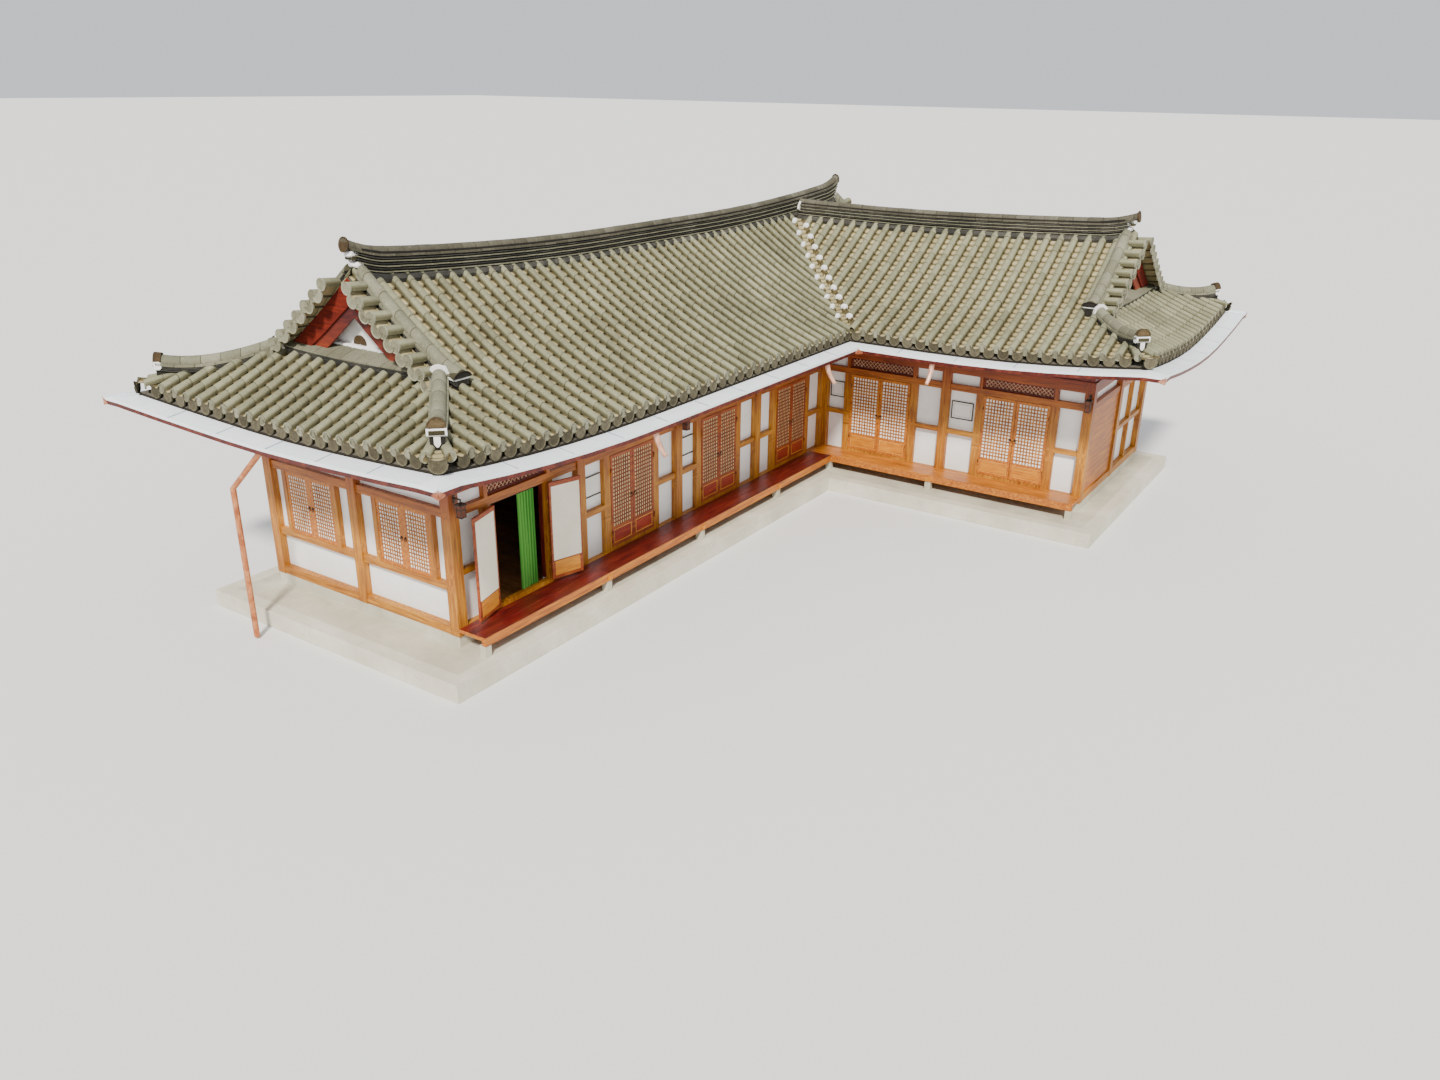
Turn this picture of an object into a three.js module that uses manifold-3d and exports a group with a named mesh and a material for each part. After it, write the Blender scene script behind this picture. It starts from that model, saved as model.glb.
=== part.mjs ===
// A Korean hanok house: one storey, L-shaped, with a hip-and-gable tiled roof.
// Millimetres, +Z up. The long wing runs along +X, the short wing along -Y, and the yard
// lies in the corner between them. The origin is on the ground, below the outer corner of
// the column at the yard end of the long wing.

import * as THREE from 'three';
import { mergeVertices } from 'three/addons/utils/BufferGeometryUtils.js';
import Module from 'manifold-3d';

const wasm = await Module();
wasm.setup();

const X = new THREE.Vector3(1, 0, 0);
const Y = new THREE.Vector3(0, 1, 0);
const Z = new THREE.Vector3(0, 0, 1);

// Plan of the column faces.
const LONG_LENGTH = 12000;
const WING_LENGTH = 6320;
const DEPTH = 4600;
const LONG_COLUMNS = [3120, 6080, 9040];
const WING_COLUMN = 3050;
const RIGHT_FACE = LONG_LENGTH + DEPTH;

// Heights above the ground.
const PLATFORM_TOP = 300;
const PLINTH_TOP = 500;
const FLOOR = 650;
const CHAIR_RAIL_TOP = FLOOR + 960;
const WINDOW_SILL_TOP = FLOOR + 740;
const DOOR_HEAD = FLOOR + 1860;
const HEAD_RAIL_TOP = FLOOR + 2000;
const BAND_TOP = FLOOR + 2250;
const WALL_TOP = FLOOR + 2490;

// Timber sections and wall layers, measured inward from the column faces.
const COLUMN = 200;
const FRAME_DEPTH = 130;
const WALL_DEPTH = 200;
const BEAM_SETBACK = 10;
const RAIL_SETBACK = 30;
const CHAIR_RAIL = 100;
const WINDOW_SILL = 120;
const CORNER_STUD = 100;
const BAND_STUD = 80;
const SEAT_GAP = 0.3;

// Doors and windows.
const THRESHOLD = 60;
const DOOR_JAMB = 170;
const WINDOW_JAMB = 100;
const LONG_LEAF = 655;
const WING_LEAF = 750;
const LONG_DOORS = [1560, 4600, 7540, 10510];
const WING_DOORS = [1450, 4690];
const WINDOW_HALF = 600;
const LEAF_GAP = 6;
const MEETING_GAP = 5;
const LEAF_THICKNESS = 40;
const LEAF_SETBACK = 22;
const HINGE_SETBACK = 6;
const HINGE_RADIUS = 8;
const HINGE_LENGTH = 60;
const HINGE_HEIGHTS = [FLOOR + 330, FLOOR + 1540];
const STRAP_LENGTH = 110;
const STRAP_THICKNESS = 4;
const STILE = 62;
const MEETING_STILE = 90;
const KICK_BOARD = 330;
const LATTICE_RECESS = 14;
const KICK_RECESS = 8;
const OPEN_ANGLE = 165;

// Roof: distances d run from the tile ends up the slope, distances s along the eave.
const OVERHANG = 1250;
const BED_EAVE = FLOOR + 2960;
const PITCH = 0.42;
const CURVE = 0.041e-3;
const CORNER_LIFT = 290;
const LIFT_REACH = 4500;
const MAIN_TOP_LIFT = 490;
const WING_TOP_LIFT = 260;
const JUNCTION_LIFT = 200;
const TOP_LIFT_REACH = 8000;
const TOP_LIFT_START = 1700;
const TOP_STOPS = [1800, 3550, 5700, 7500];
const LEFT_BOW = 150;
const HALF_SPAN = DEPTH / 2 + OVERHANG;
const SLAB_EAVE = 200;
const SLAB_GROWTH = 0.06;
const SLAB_ROWS = 5;
const LIFT_STEP = 900;
const CORNER_REACH = 5;
const LEFT_VERGE = 1670;
const OTHER_VERGE = 1450;
const GABLE_INSET = 280;
const SEAM = 0.2;
const RIDGE_JOINT = 2;
const CLEARANCE = 0.4;
const LEFT = -OVERHANG;
const RIGHT = RIGHT_FACE + OVERHANG;
const FRONT = -OVERHANG;
const BACK = DEPTH + OVERHANG;
const WING_LEFT = LONG_LENGTH - OVERHANG;
const WING_FRONT = -WING_LENGTH - OVERHANG;
const RIDGE_Y = DEPTH / 2;
const RIDGE_X = LONG_LENGTH + DEPTH / 2;

// Ridges of stacked tiles.
const RIDGE_HEIGHT = 470;
const WING_RIDGE_HEIGHT = 430;
const RIDGE_WIDTH = 300;
const RIDGE_CURL = 130;
const CURL_REACH = 750;
const BRANCH_HEIGHT = 330;
const BRANCH_WIDTH = 280;
const BRANCH_CURL = 100;
const BRANCH_SEAT = 30;
const BRANCH_END = 60;
const LEFT_BRANCH_END = 300;
const FOOT_HEIGHT = 230;
const FOOT_WIDTH = 240;
const BRANCH_INSET = 180;
const HIP_START = 80;
const HIP_END = 250;
const HIP_HEIGHT = 300;
const HIP_CURL = 280;
const ROOT = 160;

// Eave metalwork.
const GUTTER_WIDTH = 400;
const GUTTER_SHEET = 8;
const GUTTER_HIGH = -45;
const GUTTER_LOW = -97;
const GUTTER_LIP = -60;
const FASCIA_HEIGHT = 65;
const FASCIA_THICKNESS = 32;
const SPOUT_RADIUS = 62;
const SPOUT_TAPER = 22;
const SPOUT_MARGIN = 2;
const SPOUT_BEND = 260;
const SPOUT_DROP = 470;
const SPOUT_REACH = 210;
const YARD_SPOUTS = [3220, 9150];
const WING_SPOUT = 3330;
const PIPE_RADIUS = 50;
const PIPE_X = -1300;
const PIPE_TOP_Y = 2500;
const PIPE_Y = 3510;
const PIPE_BEND_Z = FLOOR + 2040;
const PIPE_FOOT_Z = 40;

// Platform and veranda.
const YARD_PLATFORM = 850;
const WING_PLATFORM = 1150;
const BACK_PLATFORM = 600;
const END_PLATFORM = 900;
const PLINTH_SETBACK = 20;
const PLINTH_WIDTH = 300;
const VERANDA_DEPTH = 580;
const VERANDA_BOARD = 60;
const VERANDA_EDGE = 80;
const STONE_POST = 130;
const POST_INSET = 10;

const MATERIALS = {
  stone: { color: 0xb9b7ae, roughness: 0.9, metalness: 0 },
  timber: { color: 0xb4692a, roughness: 0.6, metalness: 0 },
  deck: { color: 0x8e3f22, roughness: 0.5, metalness: 0 },
  dark_timber: { color: 0x6b1f1a, roughness: 0.6, metalness: 0 },
  plaster: { color: 0xe9e6df, roughness: 0.9, metalness: 0 },
  floor: { color: 0xb08a55, roughness: 0.6, metalness: 0 },
  tile: { color: 0x7d7a69, roughness: 0.85, metalness: 0 },
  sheet: { color: 0xe2e8f0, roughness: 0.45, metalness: 0.1 },
  copper: { color: 0xb3705a, roughness: 0.5, metalness: 0.4 },
};

// Solids and booleans.

function toSolid(geometry) {
  const bare = geometry.clone();
  bare.deleteAttribute('normal');
  bare.deleteAttribute('uv');
  const merged = mergeVertices(bare, 1e-3);
  return new wasm.Manifold(new wasm.Mesh({
    numProp: 3,
    vertProperties: new Float32Array(merged.attributes.position.array),
    triVerts: new Uint32Array(merged.index.array),
  }));
}

function toGeometry(solid) {
  const mesh = solid.getMesh();
  const geometry = new THREE.BufferGeometry();
  geometry.setAttribute('position', new THREE.BufferAttribute(mesh.vertProperties, 3));
  geometry.setIndex(new THREE.BufferAttribute(mesh.triVerts, 1));
  geometry.computeVertexNormals();
  return geometry;
}

function join(solids) {
  return solids.reduce((sum, solid) => sum.add(solid));
}

function cut(solid, tools) {
  return tools.reduce((rest, tool) => rest.subtract(tool), solid);
}

// The main body of a cut solid, without the slivers that a cut leaves.
function mainBody(solid) {
  const volume = (body) => {
    const { min, max } = body.boundingBox();
    return (max[0] - min[0]) * (max[1] - min[1]) * (max[2] - min[2]);
  };
  return solid.decompose().reduce((best, body) => (volume(body) > volume(best) ? body : best));
}

function box(x0, x1, y0, y1, z0, z1) {
  const geometry = new THREE.BoxGeometry(x1 - x0, y1 - y0, z1 - z0);
  geometry.translate((x0 + x1) / 2, (y0 + y1) / 2, (z0 + z1) / 2);
  return toSolid(geometry);
}

// A plan outline [x, y] extruded from z0 to z1.
function prism(outline, z0, z1) {
  const shape = new THREE.Shape(outline.map(([x, y]) => new THREE.Vector2(x, y)));
  const geometry = new THREE.ExtrudeGeometry(shape, { depth: z1 - z0, bevelEnabled: false });
  geometry.translate(0, 0, z0);
  return toSolid(geometry);
}

function barrel(x, y, z0, z1) {
  const geometry = new THREE.CylinderGeometry(HINGE_RADIUS, HINGE_RADIUS, z1 - z0, 6);
  geometry.rotateX(Math.PI / 2);
  geometry.translate(x, y, (z0 + z1) / 2);
  return toSolid(geometry);
}

// The same body seen in a mirror across x = 0.
function mirrored(geometry) {
  const copy = geometry.clone().scale(-1, 1, 1);
  copy.setIndex(new THREE.BufferAttribute(copy.index.array.slice().reverse(), 1));
  return copy;
}

// The triangles of a closed body, turned so that its faces point out.
function closedGeometry(points, triangles) {
  let volume = 0;
  for (const [a, b, c] of triangles) {
    volume += points[a].dot(new THREE.Vector3().crossVectors(points[b], points[c]));
  }
  const outward = volume > 0 ? triangles : triangles.map(([a, b, c]) => [a, c, b]);
  const geometry = new THREE.BufferGeometry().setFromPoints(points);
  geometry.setIndex(outward.flat());
  return geometry;
}

// A body through successive rings of points, with flat ends, or joined end to end.
function loft(rings, endless = false) {
  const size = rings[0].length;
  const triangles = [];
  const spans = endless ? rings.length : rings.length - 1;
  for (let i = 0; i < spans; i += 1) {
    const next = (i + 1) % rings.length;
    for (let k = 0; k < size; k += 1) {
      const l = (k + 1) % size;
      triangles.push([i * size + k, i * size + l, next * size + l]);
      triangles.push([i * size + k, next * size + l, next * size + k]);
    }
  }
  if (!endless) {
    const last = (rings.length - 1) * size;
    for (let k = 1; k < size - 1; k += 1) {
      triangles.push([0, k + 1, k]);
      triangles.push([last, last + k, last + k + 1]);
    }
  }
  return toSolid(closedGeometry(rings.flat(), triangles));
}

// A slab between two grids of points with the same rows and columns.
function gridSolid(top, bottom) {
  const rows = top.length;
  const columns = top[0].length;
  const at = (i, j) => i * columns + j;
  const below = rows * columns;
  const triangles = [];
  const quad = (a, b, c, d) => triangles.push([a, b, c], [a, c, d]);
  for (let i = 0; i < rows - 1; i += 1) {
    for (let j = 0; j < columns - 1; j += 1) {
      quad(at(i, j), at(i, j + 1), at(i + 1, j + 1), at(i + 1, j));
      quad(below + at(i, j), below + at(i + 1, j), below + at(i + 1, j + 1), below + at(i, j + 1));
    }
  }
  const edge = (a, b) => quad(b, a, below + a, below + b);
  for (let j = 0; j < columns - 1; j += 1) {
    edge(at(0, j), at(0, j + 1));
    edge(at(rows - 1, j + 1), at(rows - 1, j));
  }
  for (let i = 0; i < rows - 1; i += 1) {
    edge(at(i + 1, 0), at(i, 0));
    edge(at(i, columns - 1), at(i + 1, columns - 1));
  }
  return toSolid(closedGeometry([...top.flat(), ...bottom.flat()], triangles));
}

// A plan outline moved outward by a distance, or inward where it is negative.
function offset(outline, distance) {
  const turn = Math.sign(THREE.ShapeUtils.area(outline.map(([x, y]) => new THREE.Vector2(x, y))));
  return outline.map((point, i) => {
    const before = outline[(i + outline.length - 1) % outline.length];
    const after = outline[(i + 1) % outline.length];
    const [n, m] = [[before, point], [point, after]].map(([a, b]) => {
      const length = Math.hypot(b[0] - a[0], b[1] - a[1]);
      return [turn * (b[1] - a[1]) / length, -turn * (b[0] - a[0]) / length];
    });
    const scale = distance / (1 + n[0] * m[0] + n[1] * m[1]);
    return [point[0] + (n[0] + m[0]) * scale, point[1] + (n[1] + m[1]) * scale];
  });
}

// Roof surfaces.

// Height of the tile bed at d from the eave, without the lift of the corners.
function bed(d) {
  return BED_EAVE + PITCH * d + CURVE * d * d;
}

function slabThickness(d) {
  return SLAB_EAVE + SLAB_GROWTH * Math.max(0, d);
}

function cornerLift(s, d) {
  const along = Math.max(0, 1 - Math.max(0, s) / LIFT_REACH);
  const up = Math.min(1, Math.max(0, 1 - d / HALF_SPAN));
  return CORNER_LIFT * along * along * up;
}

// The share of the ridge line's rise towards a gable that the slope follows at s, d.
function topShare(s, d) {
  const along = Math.max(0, 1 - Math.max(0, s) / TOP_LIFT_REACH);
  const up = Math.min(1, Math.max(0, (d - TOP_LIFT_START) / (HALF_SPAN - TOP_LIFT_START)));
  return along * along * up;
}

// Each slope: the eave's first corner, the way along it and up it, its length, which of its
// two ends sweep up at the eave, how far they rise at the ridge, and how far the eave bows in.
const SLOPES = {
  longFront: { corner: [LEFT, FRONT], along: [1, 0], up: [0, 1], length: RIGHT - LEFT,
    lifts: [1, 0], tops: [MAIN_TOP_LIFT, MAIN_TOP_LIFT], bow: 0 },
  longBack: { corner: [RIGHT, BACK], along: [-1, 0], up: [0, -1], length: RIGHT - LEFT,
    lifts: [1, 1], tops: [MAIN_TOP_LIFT, MAIN_TOP_LIFT], bow: 0 },
  longEnd: { corner: [LEFT, BACK], along: [0, -1], up: [1, 0], length: BACK - FRONT,
    lifts: [1, 1], tops: [0, 0], bow: LEFT_BOW },
  wingYard: { corner: [WING_LEFT, WING_FRONT], along: [0, 1], up: [1, 0], length: BACK - WING_FRONT,
    lifts: [1, 0], tops: [WING_TOP_LIFT, JUNCTION_LIFT], bow: 0 },
  wingOuter: { corner: [RIGHT, WING_FRONT], along: [0, 1], up: [-1, 0], length: BACK - WING_FRONT,
    lifts: [1, 1], tops: [WING_TOP_LIFT, JUNCTION_LIFT], bow: 0 },
  wingEnd: { corner: [WING_LEFT, WING_FRONT], along: [1, 0], up: [0, 1], length: RIGHT - WING_LEFT,
    lifts: [1, 1], tops: [0, 0], bow: 0 },
};

function slopeLift({ length, lifts, tops }, s, d) {
  const ends = [s, length - s];
  return ends.reduce((sum, e, i) => sum + lifts[i] * cornerLift(e, d) + tops[i] * topShare(e, d), 0);
}

function bedPoint(slope, s, d, rise = 0) {
  const { corner, along, up } = slope;
  return new THREE.Vector3(
    corner[0] + along[0] * s + up[0] * d,
    corner[1] + along[1] * s + up[1] * d,
    bed(d) + slopeLift(slope, s, d) + rise,
  );
}

// Places along an eave where its curve is drawn, closer together near a lifted end.
function liftStops(length, lifts) {
  const stops = [0, length];
  if (lifts[0] && lifts[1]) stops.push(length / 2);
  const limits = lifts.map((lift, i) => (lifts[1 - i] ? length / 2 : length));
  for (let s = LIFT_STEP; s <= LIFT_REACH; s += LIFT_STEP) {
    if (lifts[0] && s < limits[0]) stops.push(s);
    if (lifts[1] && s < limits[1]) stops.push(length - s);
  }
  return stops.sort((a, b) => a - b);
}

// The same places, with those where the upper part of the slope rises towards a gable.
function slabStops({ length, lifts, tops }) {
  const stops = liftStops(length, lifts);
  const wanted = tops.flatMap((top, i) => (top ? TOP_STOPS.map((s) => (i ? length - s : s)) : []));
  for (const s of wanted) {
    if (stops.every((stop) => Math.abs(stop - s) > LIFT_STEP / 2)) stops.push(s);
  }
  return stops.sort((a, b) => a - b);
}

// How far the eave lies inside the straight line between its corners.
function eaveBow({ length, bow }, s) {
  const inside = s > CORNER_REACH && s < length - CORNER_REACH;
  return inside ? bow * 4 * s * (length - s) / (length * length) : 0;
}

// The eave's plan points between its corners.
function bowedEave(slope) {
  const { corner, along, up, length, lifts } = slope;
  return liftStops(length, lifts).slice(1, -1).map((s) => {
    const d = eaveBow(slope, s);
    return [corner[0] + along[0] * s + up[0] * d, corner[1] + along[1] * s + up[1] * d];
  });
}

// The bed's slab over the whole slope, cut to a plan outline.
function slab(slope, depth, outline, growth) {
  const margin = 60;
  const stations = [-margin, ...slabStops(slope), slope.length + margin];
  const rows = [-margin];
  for (let i = 0; i <= SLAB_ROWS; i += 1) {
    rows.push(HALF_SPAN * i / SLAB_ROWS);
  }
  rows.push(HALF_SPAN + margin);
  const used = rows.filter((d, i) => i === 0 || rows[i - 1] <= depth);
  const grid = (shift) => used.map((d) => stations.map((s) => bedPoint(slope, s, d, shift(d))));
  const body = gridSolid(grid(() => growth), grid((d) => -slabThickness(d) - growth));
  return body.intersect(prism(offset(outline, growth > 0 ? growth : -SEAM), 0, 9000));
}

const leftVerge = LEFT + LEFT_VERGE;
const wingVerge = WING_FRONT + OTHER_VERGE;
const farVerge = RIGHT - OTHER_VERGE;
const leftGable = leftVerge + GABLE_INSET;
const wingGable = wingVerge + GABLE_INSET;
const farGable = farVerge - GABLE_INSET;
const valleyFoot = [WING_LEFT, FRONT];
const junction = [RIDGE_X, RIDGE_Y];

// How far a place in plan lies along the diagonal from an eave corner.
const LEFT_SKIRT = leftGable - LEFT;
const OTHER_SKIRT = wingGable - WING_FRONT;

const OUTLINES = {
  longFront: [[LEFT, FRONT], valleyFoot, junction, [leftVerge, RIDGE_Y], [leftVerge, FRONT + LEFT_VERGE]],
  longBack: [[RIGHT, BACK], [LEFT, BACK], [leftVerge, BACK - LEFT_VERGE], [leftVerge, RIDGE_Y],
    [farVerge, RIDGE_Y], [farVerge, BACK - OTHER_VERGE]],
  farFront: [[RIDGE_X - RIDGE_JOINT, RIDGE_Y + RIDGE_JOINT], [farVerge, FRONT + OTHER_VERGE],
    [farVerge, RIDGE_Y + RIDGE_JOINT]],
  longEnd: [[LEFT, BACK], ...bowedEave(SLOPES.longEnd), [LEFT, FRONT], [leftGable, FRONT + LEFT_SKIRT],
    [leftGable, BACK - LEFT_SKIRT]],
  wingYard: [valleyFoot, [WING_LEFT, WING_FRONT], [WING_LEFT + OTHER_VERGE, wingVerge],
    [RIDGE_X, wingVerge], junction],
  wingOuter: [[RIGHT, WING_FRONT], [RIGHT, BACK], [farGable, BACK - OTHER_SKIRT],
    [farGable, FRONT + OTHER_SKIRT], junction, [RIDGE_X, wingVerge], [farVerge, wingVerge]],
  wingEnd: [[WING_LEFT, WING_FRONT], [RIGHT, WING_FRONT], [farGable, wingGable],
    [WING_LEFT + OTHER_SKIRT, wingGable]],
};

function roofSlab(name, growth) {
  const slope = SLOPES[name] || SLOPES.longFront;
  const depth = { longEnd: LEFT_SKIRT, wingEnd: OTHER_SKIRT }[name] || HALF_SPAN;
  return slab(slope, depth, OUTLINES[name], growth);
}

// Every slope once more, a little larger, to cut what meets the roof.
const roofCutters = Object.fromEntries(
  Object.keys(OUTLINES).map((name) => [name, roofSlab(name, CLEARANCE)]),
);
const allRoof = Object.values(roofCutters);

// The back slope carries the small front slope beyond the junction, joined at the ridge.
function longBackSlope() {
  return roofSlab('longBack', 0).add(roofSlab('farFront', 0));
}

// Ridges.

// A ridge's section across its width, from its sunk root to its rounded cap.
function ridgeSection(width, height, growth) {
  const half = width / 2 + growth;
  const shoulder = height + growth - width * 0.3;
  const top = height + growth;
  return [[-half, -ROOT], [half, -ROOT], [half * 0.9, shoulder], [0, top], [-half * 0.9, shoulder]];
}

// A ridge along stations {point, height}, its section held upright across the way.
function ridge(stations, width, growth = 0) {
  const rings = stations.map(({ point, height }, i) => {
    const before = stations[Math.max(0, i - 1)].point;
    const after = stations[Math.min(stations.length - 1, i + 1)].point;
    const way = new THREE.Vector3().subVectors(after, before).setZ(0).normalize();
    const side = new THREE.Vector3(way.y, -way.x, 0);
    return ridgeSection(width, height, growth).map(([w, z]) => (
      point.clone().addScaledVector(side, w).add(new THREE.Vector3(0, 0, z))));
  });
  return loft(rings);
}

function stationsBetween(count, place) {
  return Array.from({ length: count + 1 }, (unused, i) => place(i / count));
}

// The extra sweep of a ridge at a distance from its free end.
function endCurl(distance) {
  return RIDGE_CURL * Math.max(0, 1 - distance / CURL_REACH) ** 2;
}

// The long ridge's ends sweep up past the gables.
function mainRidge(growth = 0) {
  const length = farVerge - leftVerge;
  return ridge(stationsBetween(16, (t) => {
    const run = length * (1 - Math.cos(Math.PI * t)) / 2;
    const point = bedPoint(SLOPES.longFront, leftVerge - LEFT + run, HALF_SPAN);
    return { point, height: RIDGE_HEIGHT + endCurl(Math.min(run, length - run)) };
  }), RIDGE_WIDTH, growth);
}

function wingRidge(growth = 0) {
  const start = RIDGE_Y - RIDGE_WIDTH / 2 - CLEARANCE;
  const length = start - wingVerge;
  return ridge(stationsBetween(10, (t) => {
    const run = length * Math.sin(Math.PI / 2 * t);
    const point = bedPoint(SLOPES.wingYard, start - run - WING_FRONT, HALF_SPAN);
    return { point, height: WING_RIDGE_HEIGHT + endCurl(length - run) };
  }), RIDGE_WIDTH, growth);
}

// A ridge going down a slope beside the verge, from the top ridge to near the skirt.
function branchRidge(slope, s, dEnd, growth) {
  const dStart = HALF_SPAN - RIDGE_WIDTH / 2 + BRANCH_SEAT;
  return ridge(stationsBetween(4, (t) => {
    const curl = BRANCH_CURL * t ** 4;
    return { point: bedPoint(slope, s, dStart + (dEnd - dStart) * t), height: BRANCH_HEIGHT + curl };
  }), BRANCH_WIDTH, growth);
}

// A ridge on the diagonal between two slopes, down towards the eave corner.
function hipRidge(slope, fromEnd, dStart, growth) {
  return ridge(stationsBetween(6, (t) => {
    const d = dStart + (HIP_END - dStart) * t;
    const s = fromEnd ? slope.length - d : d;
    return { point: bedPoint(slope, s, d), height: HIP_HEIGHT + HIP_CURL * t ** 3 };
  }), BRANCH_WIDTH, growth);
}

// The low ridge along a gable's foot, on the skirt below it.
function footRidge(skirt, verge, growth) {
  const first = verge + BRANCH_INSET;
  return ridge(stationsBetween(4, (t) => {
    const s = first + (skirt.length - 2 * first) * t;
    return { point: bedPoint(skirt, s, verge), height: FOOT_HEIGHT };
  }), FOOT_WIDTH, growth);
}

function leftGableRidges(growth = 0) {
  const s = LEFT_VERGE + BRANCH_INSET;
  const { longFront, longBack, longEnd } = SLOPES;
  return join([
    branchRidge(longFront, s, LEFT_VERGE - LEFT_BRANCH_END, growth),
    branchRidge(longBack, longBack.length - s, LEFT_VERGE - LEFT_BRANCH_END, growth),
    hipRidge(longEnd, true, LEFT_VERGE + HIP_START, growth),
    hipRidge(longEnd, false, LEFT_VERGE + HIP_START, growth),
    footRidge(longEnd, LEFT_VERGE, growth),
  ]);
}

function wingGableRidges(growth = 0) {
  const s = OTHER_VERGE + BRANCH_INSET;
  const { wingYard, wingOuter, wingEnd } = SLOPES;
  return join([
    branchRidge(wingYard, s, OTHER_VERGE - BRANCH_END, growth),
    branchRidge(wingOuter, s, OTHER_VERGE - BRANCH_END, growth),
    hipRidge(wingEnd, false, OTHER_VERGE + HIP_START, growth),
    hipRidge(wingEnd, true, OTHER_VERGE + HIP_START, growth),
    footRidge(wingEnd, OTHER_VERGE, growth),
  ]);
}

// At the junction's outer end the front branch stops at the slope below it, with no hip.
function farGableRidges(growth = 0) {
  const s = OTHER_VERGE + BRANCH_INSET;
  const { longFront, longBack, wingOuter } = SLOPES;
  const foot = ridge(stationsBetween(3, (t) => {
    const first = FRONT + OTHER_VERGE - WING_FRONT + BRANCH_INSET;
    const last = wingOuter.length - OTHER_VERGE - BRANCH_INSET;
    return { point: bedPoint(wingOuter, first + (last - first) * t, OTHER_VERGE), height: FOOT_HEIGHT };
  }), FOOT_WIDTH, growth);
  return join([
    branchRidge(longFront, longFront.length - s, OTHER_VERGE + BRANCH_END, growth),
    branchRidge(longBack, s, OTHER_VERGE - BRANCH_END, growth),
    hipRidge(longBack, false, OTHER_VERGE + HIP_START, growth),
    foot,
  ]);
}

// Gable walls: boards and bargeboards below the verge, in a plane across the ridge.

// The line of a gable's verge, inside the slab above it, as seen across the ridge.
function gableOutline({ slope, s }, drop, bottom) {
  const steps = 6;
  const rail = stationsBetween(steps, (t) => {
    const d = bottom + (HALF_SPAN - bottom) * t;
    return [d - HALF_SPAN, bedPoint(slope, s, d).z - slabThickness(d) / 2 - drop];
  });
  return [...rail, ...rail.slice(0, -1).reverse().map(([x, z]) => [-x, z])];
}

// Extrudes an outline in the gable's plane: across, up, and the depth from the verge inward.
function gablePlate(outline, from, to) {
  const shape = new THREE.Shape(outline.map(([x, y]) => new THREE.Vector2(x, y)));
  const geometry = new THREE.ExtrudeGeometry(shape, { depth: to - from, bevelEnabled: false });
  geometry.translate(0, 0, from);
  return geometry;
}

function gableBand(verge, drop, skirt, from, to) {
  const upper = gableOutline(verge, 0, skirt - 200);
  const lower = gableOutline(verge, drop, skirt - 200);
  return gablePlate([...upper, ...lower.reverse()], from, to);
}

function gable(place, verge, skirt, others) {
  const top = gableOutline(verge, 0, skirt);
  const bottom = bed(skirt) - 160;
  const wall = [[top[0][0], bottom], ...top, [top[top.length - 1][0], bottom]];
  const plates = [
    gablePlate(wall, GABLE_INSET + SEAT_GAP, GABLE_INSET + 60),
    gableBand(verge, 200, skirt, 60, GABLE_INSET + 60),
    gableBand(verge, 420, skirt, 40, 80),
  ];
  const body = join(plates.map((geometry) => toSolid(geometry.applyMatrix4(place))));
  return mainBody(cut(body, others));
}

// Maps a gable's plane, drawn across and up, to the house, with its depth going inward.
function gablePlace(inward, origin) {
  const across = new THREE.Vector3().crossVectors(Z, inward);
  return new THREE.Matrix4().makeBasis(across, Z, inward).setPosition(origin);
}

// Rings around the house: a section of [outward, height] swept along the eave or the wall.

const EAVE_CORNERS = [
  [LEFT, FRONT], valleyFoot, [WING_LEFT, WING_FRONT], [RIGHT, WING_FRONT], [RIGHT, BACK], [LEFT, BACK],
];
const EAVE_SLOPES = [
  SLOPES.longFront, SLOPES.wingYard, SLOPES.wingEnd, SLOPES.wingOuter, SLOPES.longBack, SLOPES.longEnd,
];
const FACE_CORNERS = [
  [0, 0], [LONG_LENGTH, 0], [LONG_LENGTH, -WING_LENGTH], [RIGHT_FACE, -WING_LENGTH],
  [RIGHT_FACE, DEPTH], [0, DEPTH],
];

function outwardNormal(from, to) {
  const length = Math.hypot(to[0] - from[0], to[1] - from[1]);
  return [(to[1] - from[1]) / length, -(to[0] - from[0]) / length];
}

// The height of an eave above a level one at s, level round the very corner.
function eaveRise(slope, lifts, length, s) {
  const d = eaveBow(slope, s);
  const ends = [s, length - s].map((e) => (e <= CORNER_REACH ? 0 : e));
  return bed(d) - bed(0) + ends.reduce((sum, e, i) => sum + lifts[i] * cornerLift(e, d), 0);
}

// Stations of the eave: a point, the outward direction there, and the rise of the eave.
function eaveStations() {
  const stations = [];
  const count = EAVE_CORNERS.length;
  const valley = EAVE_CORNERS.indexOf(valleyFoot);
  EAVE_CORNERS.forEach((from, i) => {
    const to = EAVE_CORNERS[(i + 1) % count];
    const n = outwardNormal(from, to);
    const m = outwardNormal(EAVE_CORNERS[(i + count - 1) % count], from);
    const length = Math.hypot(to[0] - from[0], to[1] - from[1]);
    const lifts = [i === valley ? 0 : 1, (i + 1) % count === valley ? 0 : 1];
    const stops = liftStops(length, lifts).filter((s) => s < length);
    if (lifts[0]) stops.splice(1, 0, CORNER_REACH);
    if (lifts[1]) stops.push(length - CORNER_REACH);
    for (const s of stops) {
      const bow = eaveBow(EAVE_SLOPES[i], s);
      const outward = s === 0 ? [n[0] + m[0], n[1] + m[1]] : n;
      const point = [0, 1].map((k) => from[k] + (to[k] - from[k]) * s / length - n[k] * bow);
      stations.push({ point, outward, lift: eaveRise(EAVE_SLOPES[i], lifts, length, s) });
    }
  });
  return stations;
}

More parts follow.
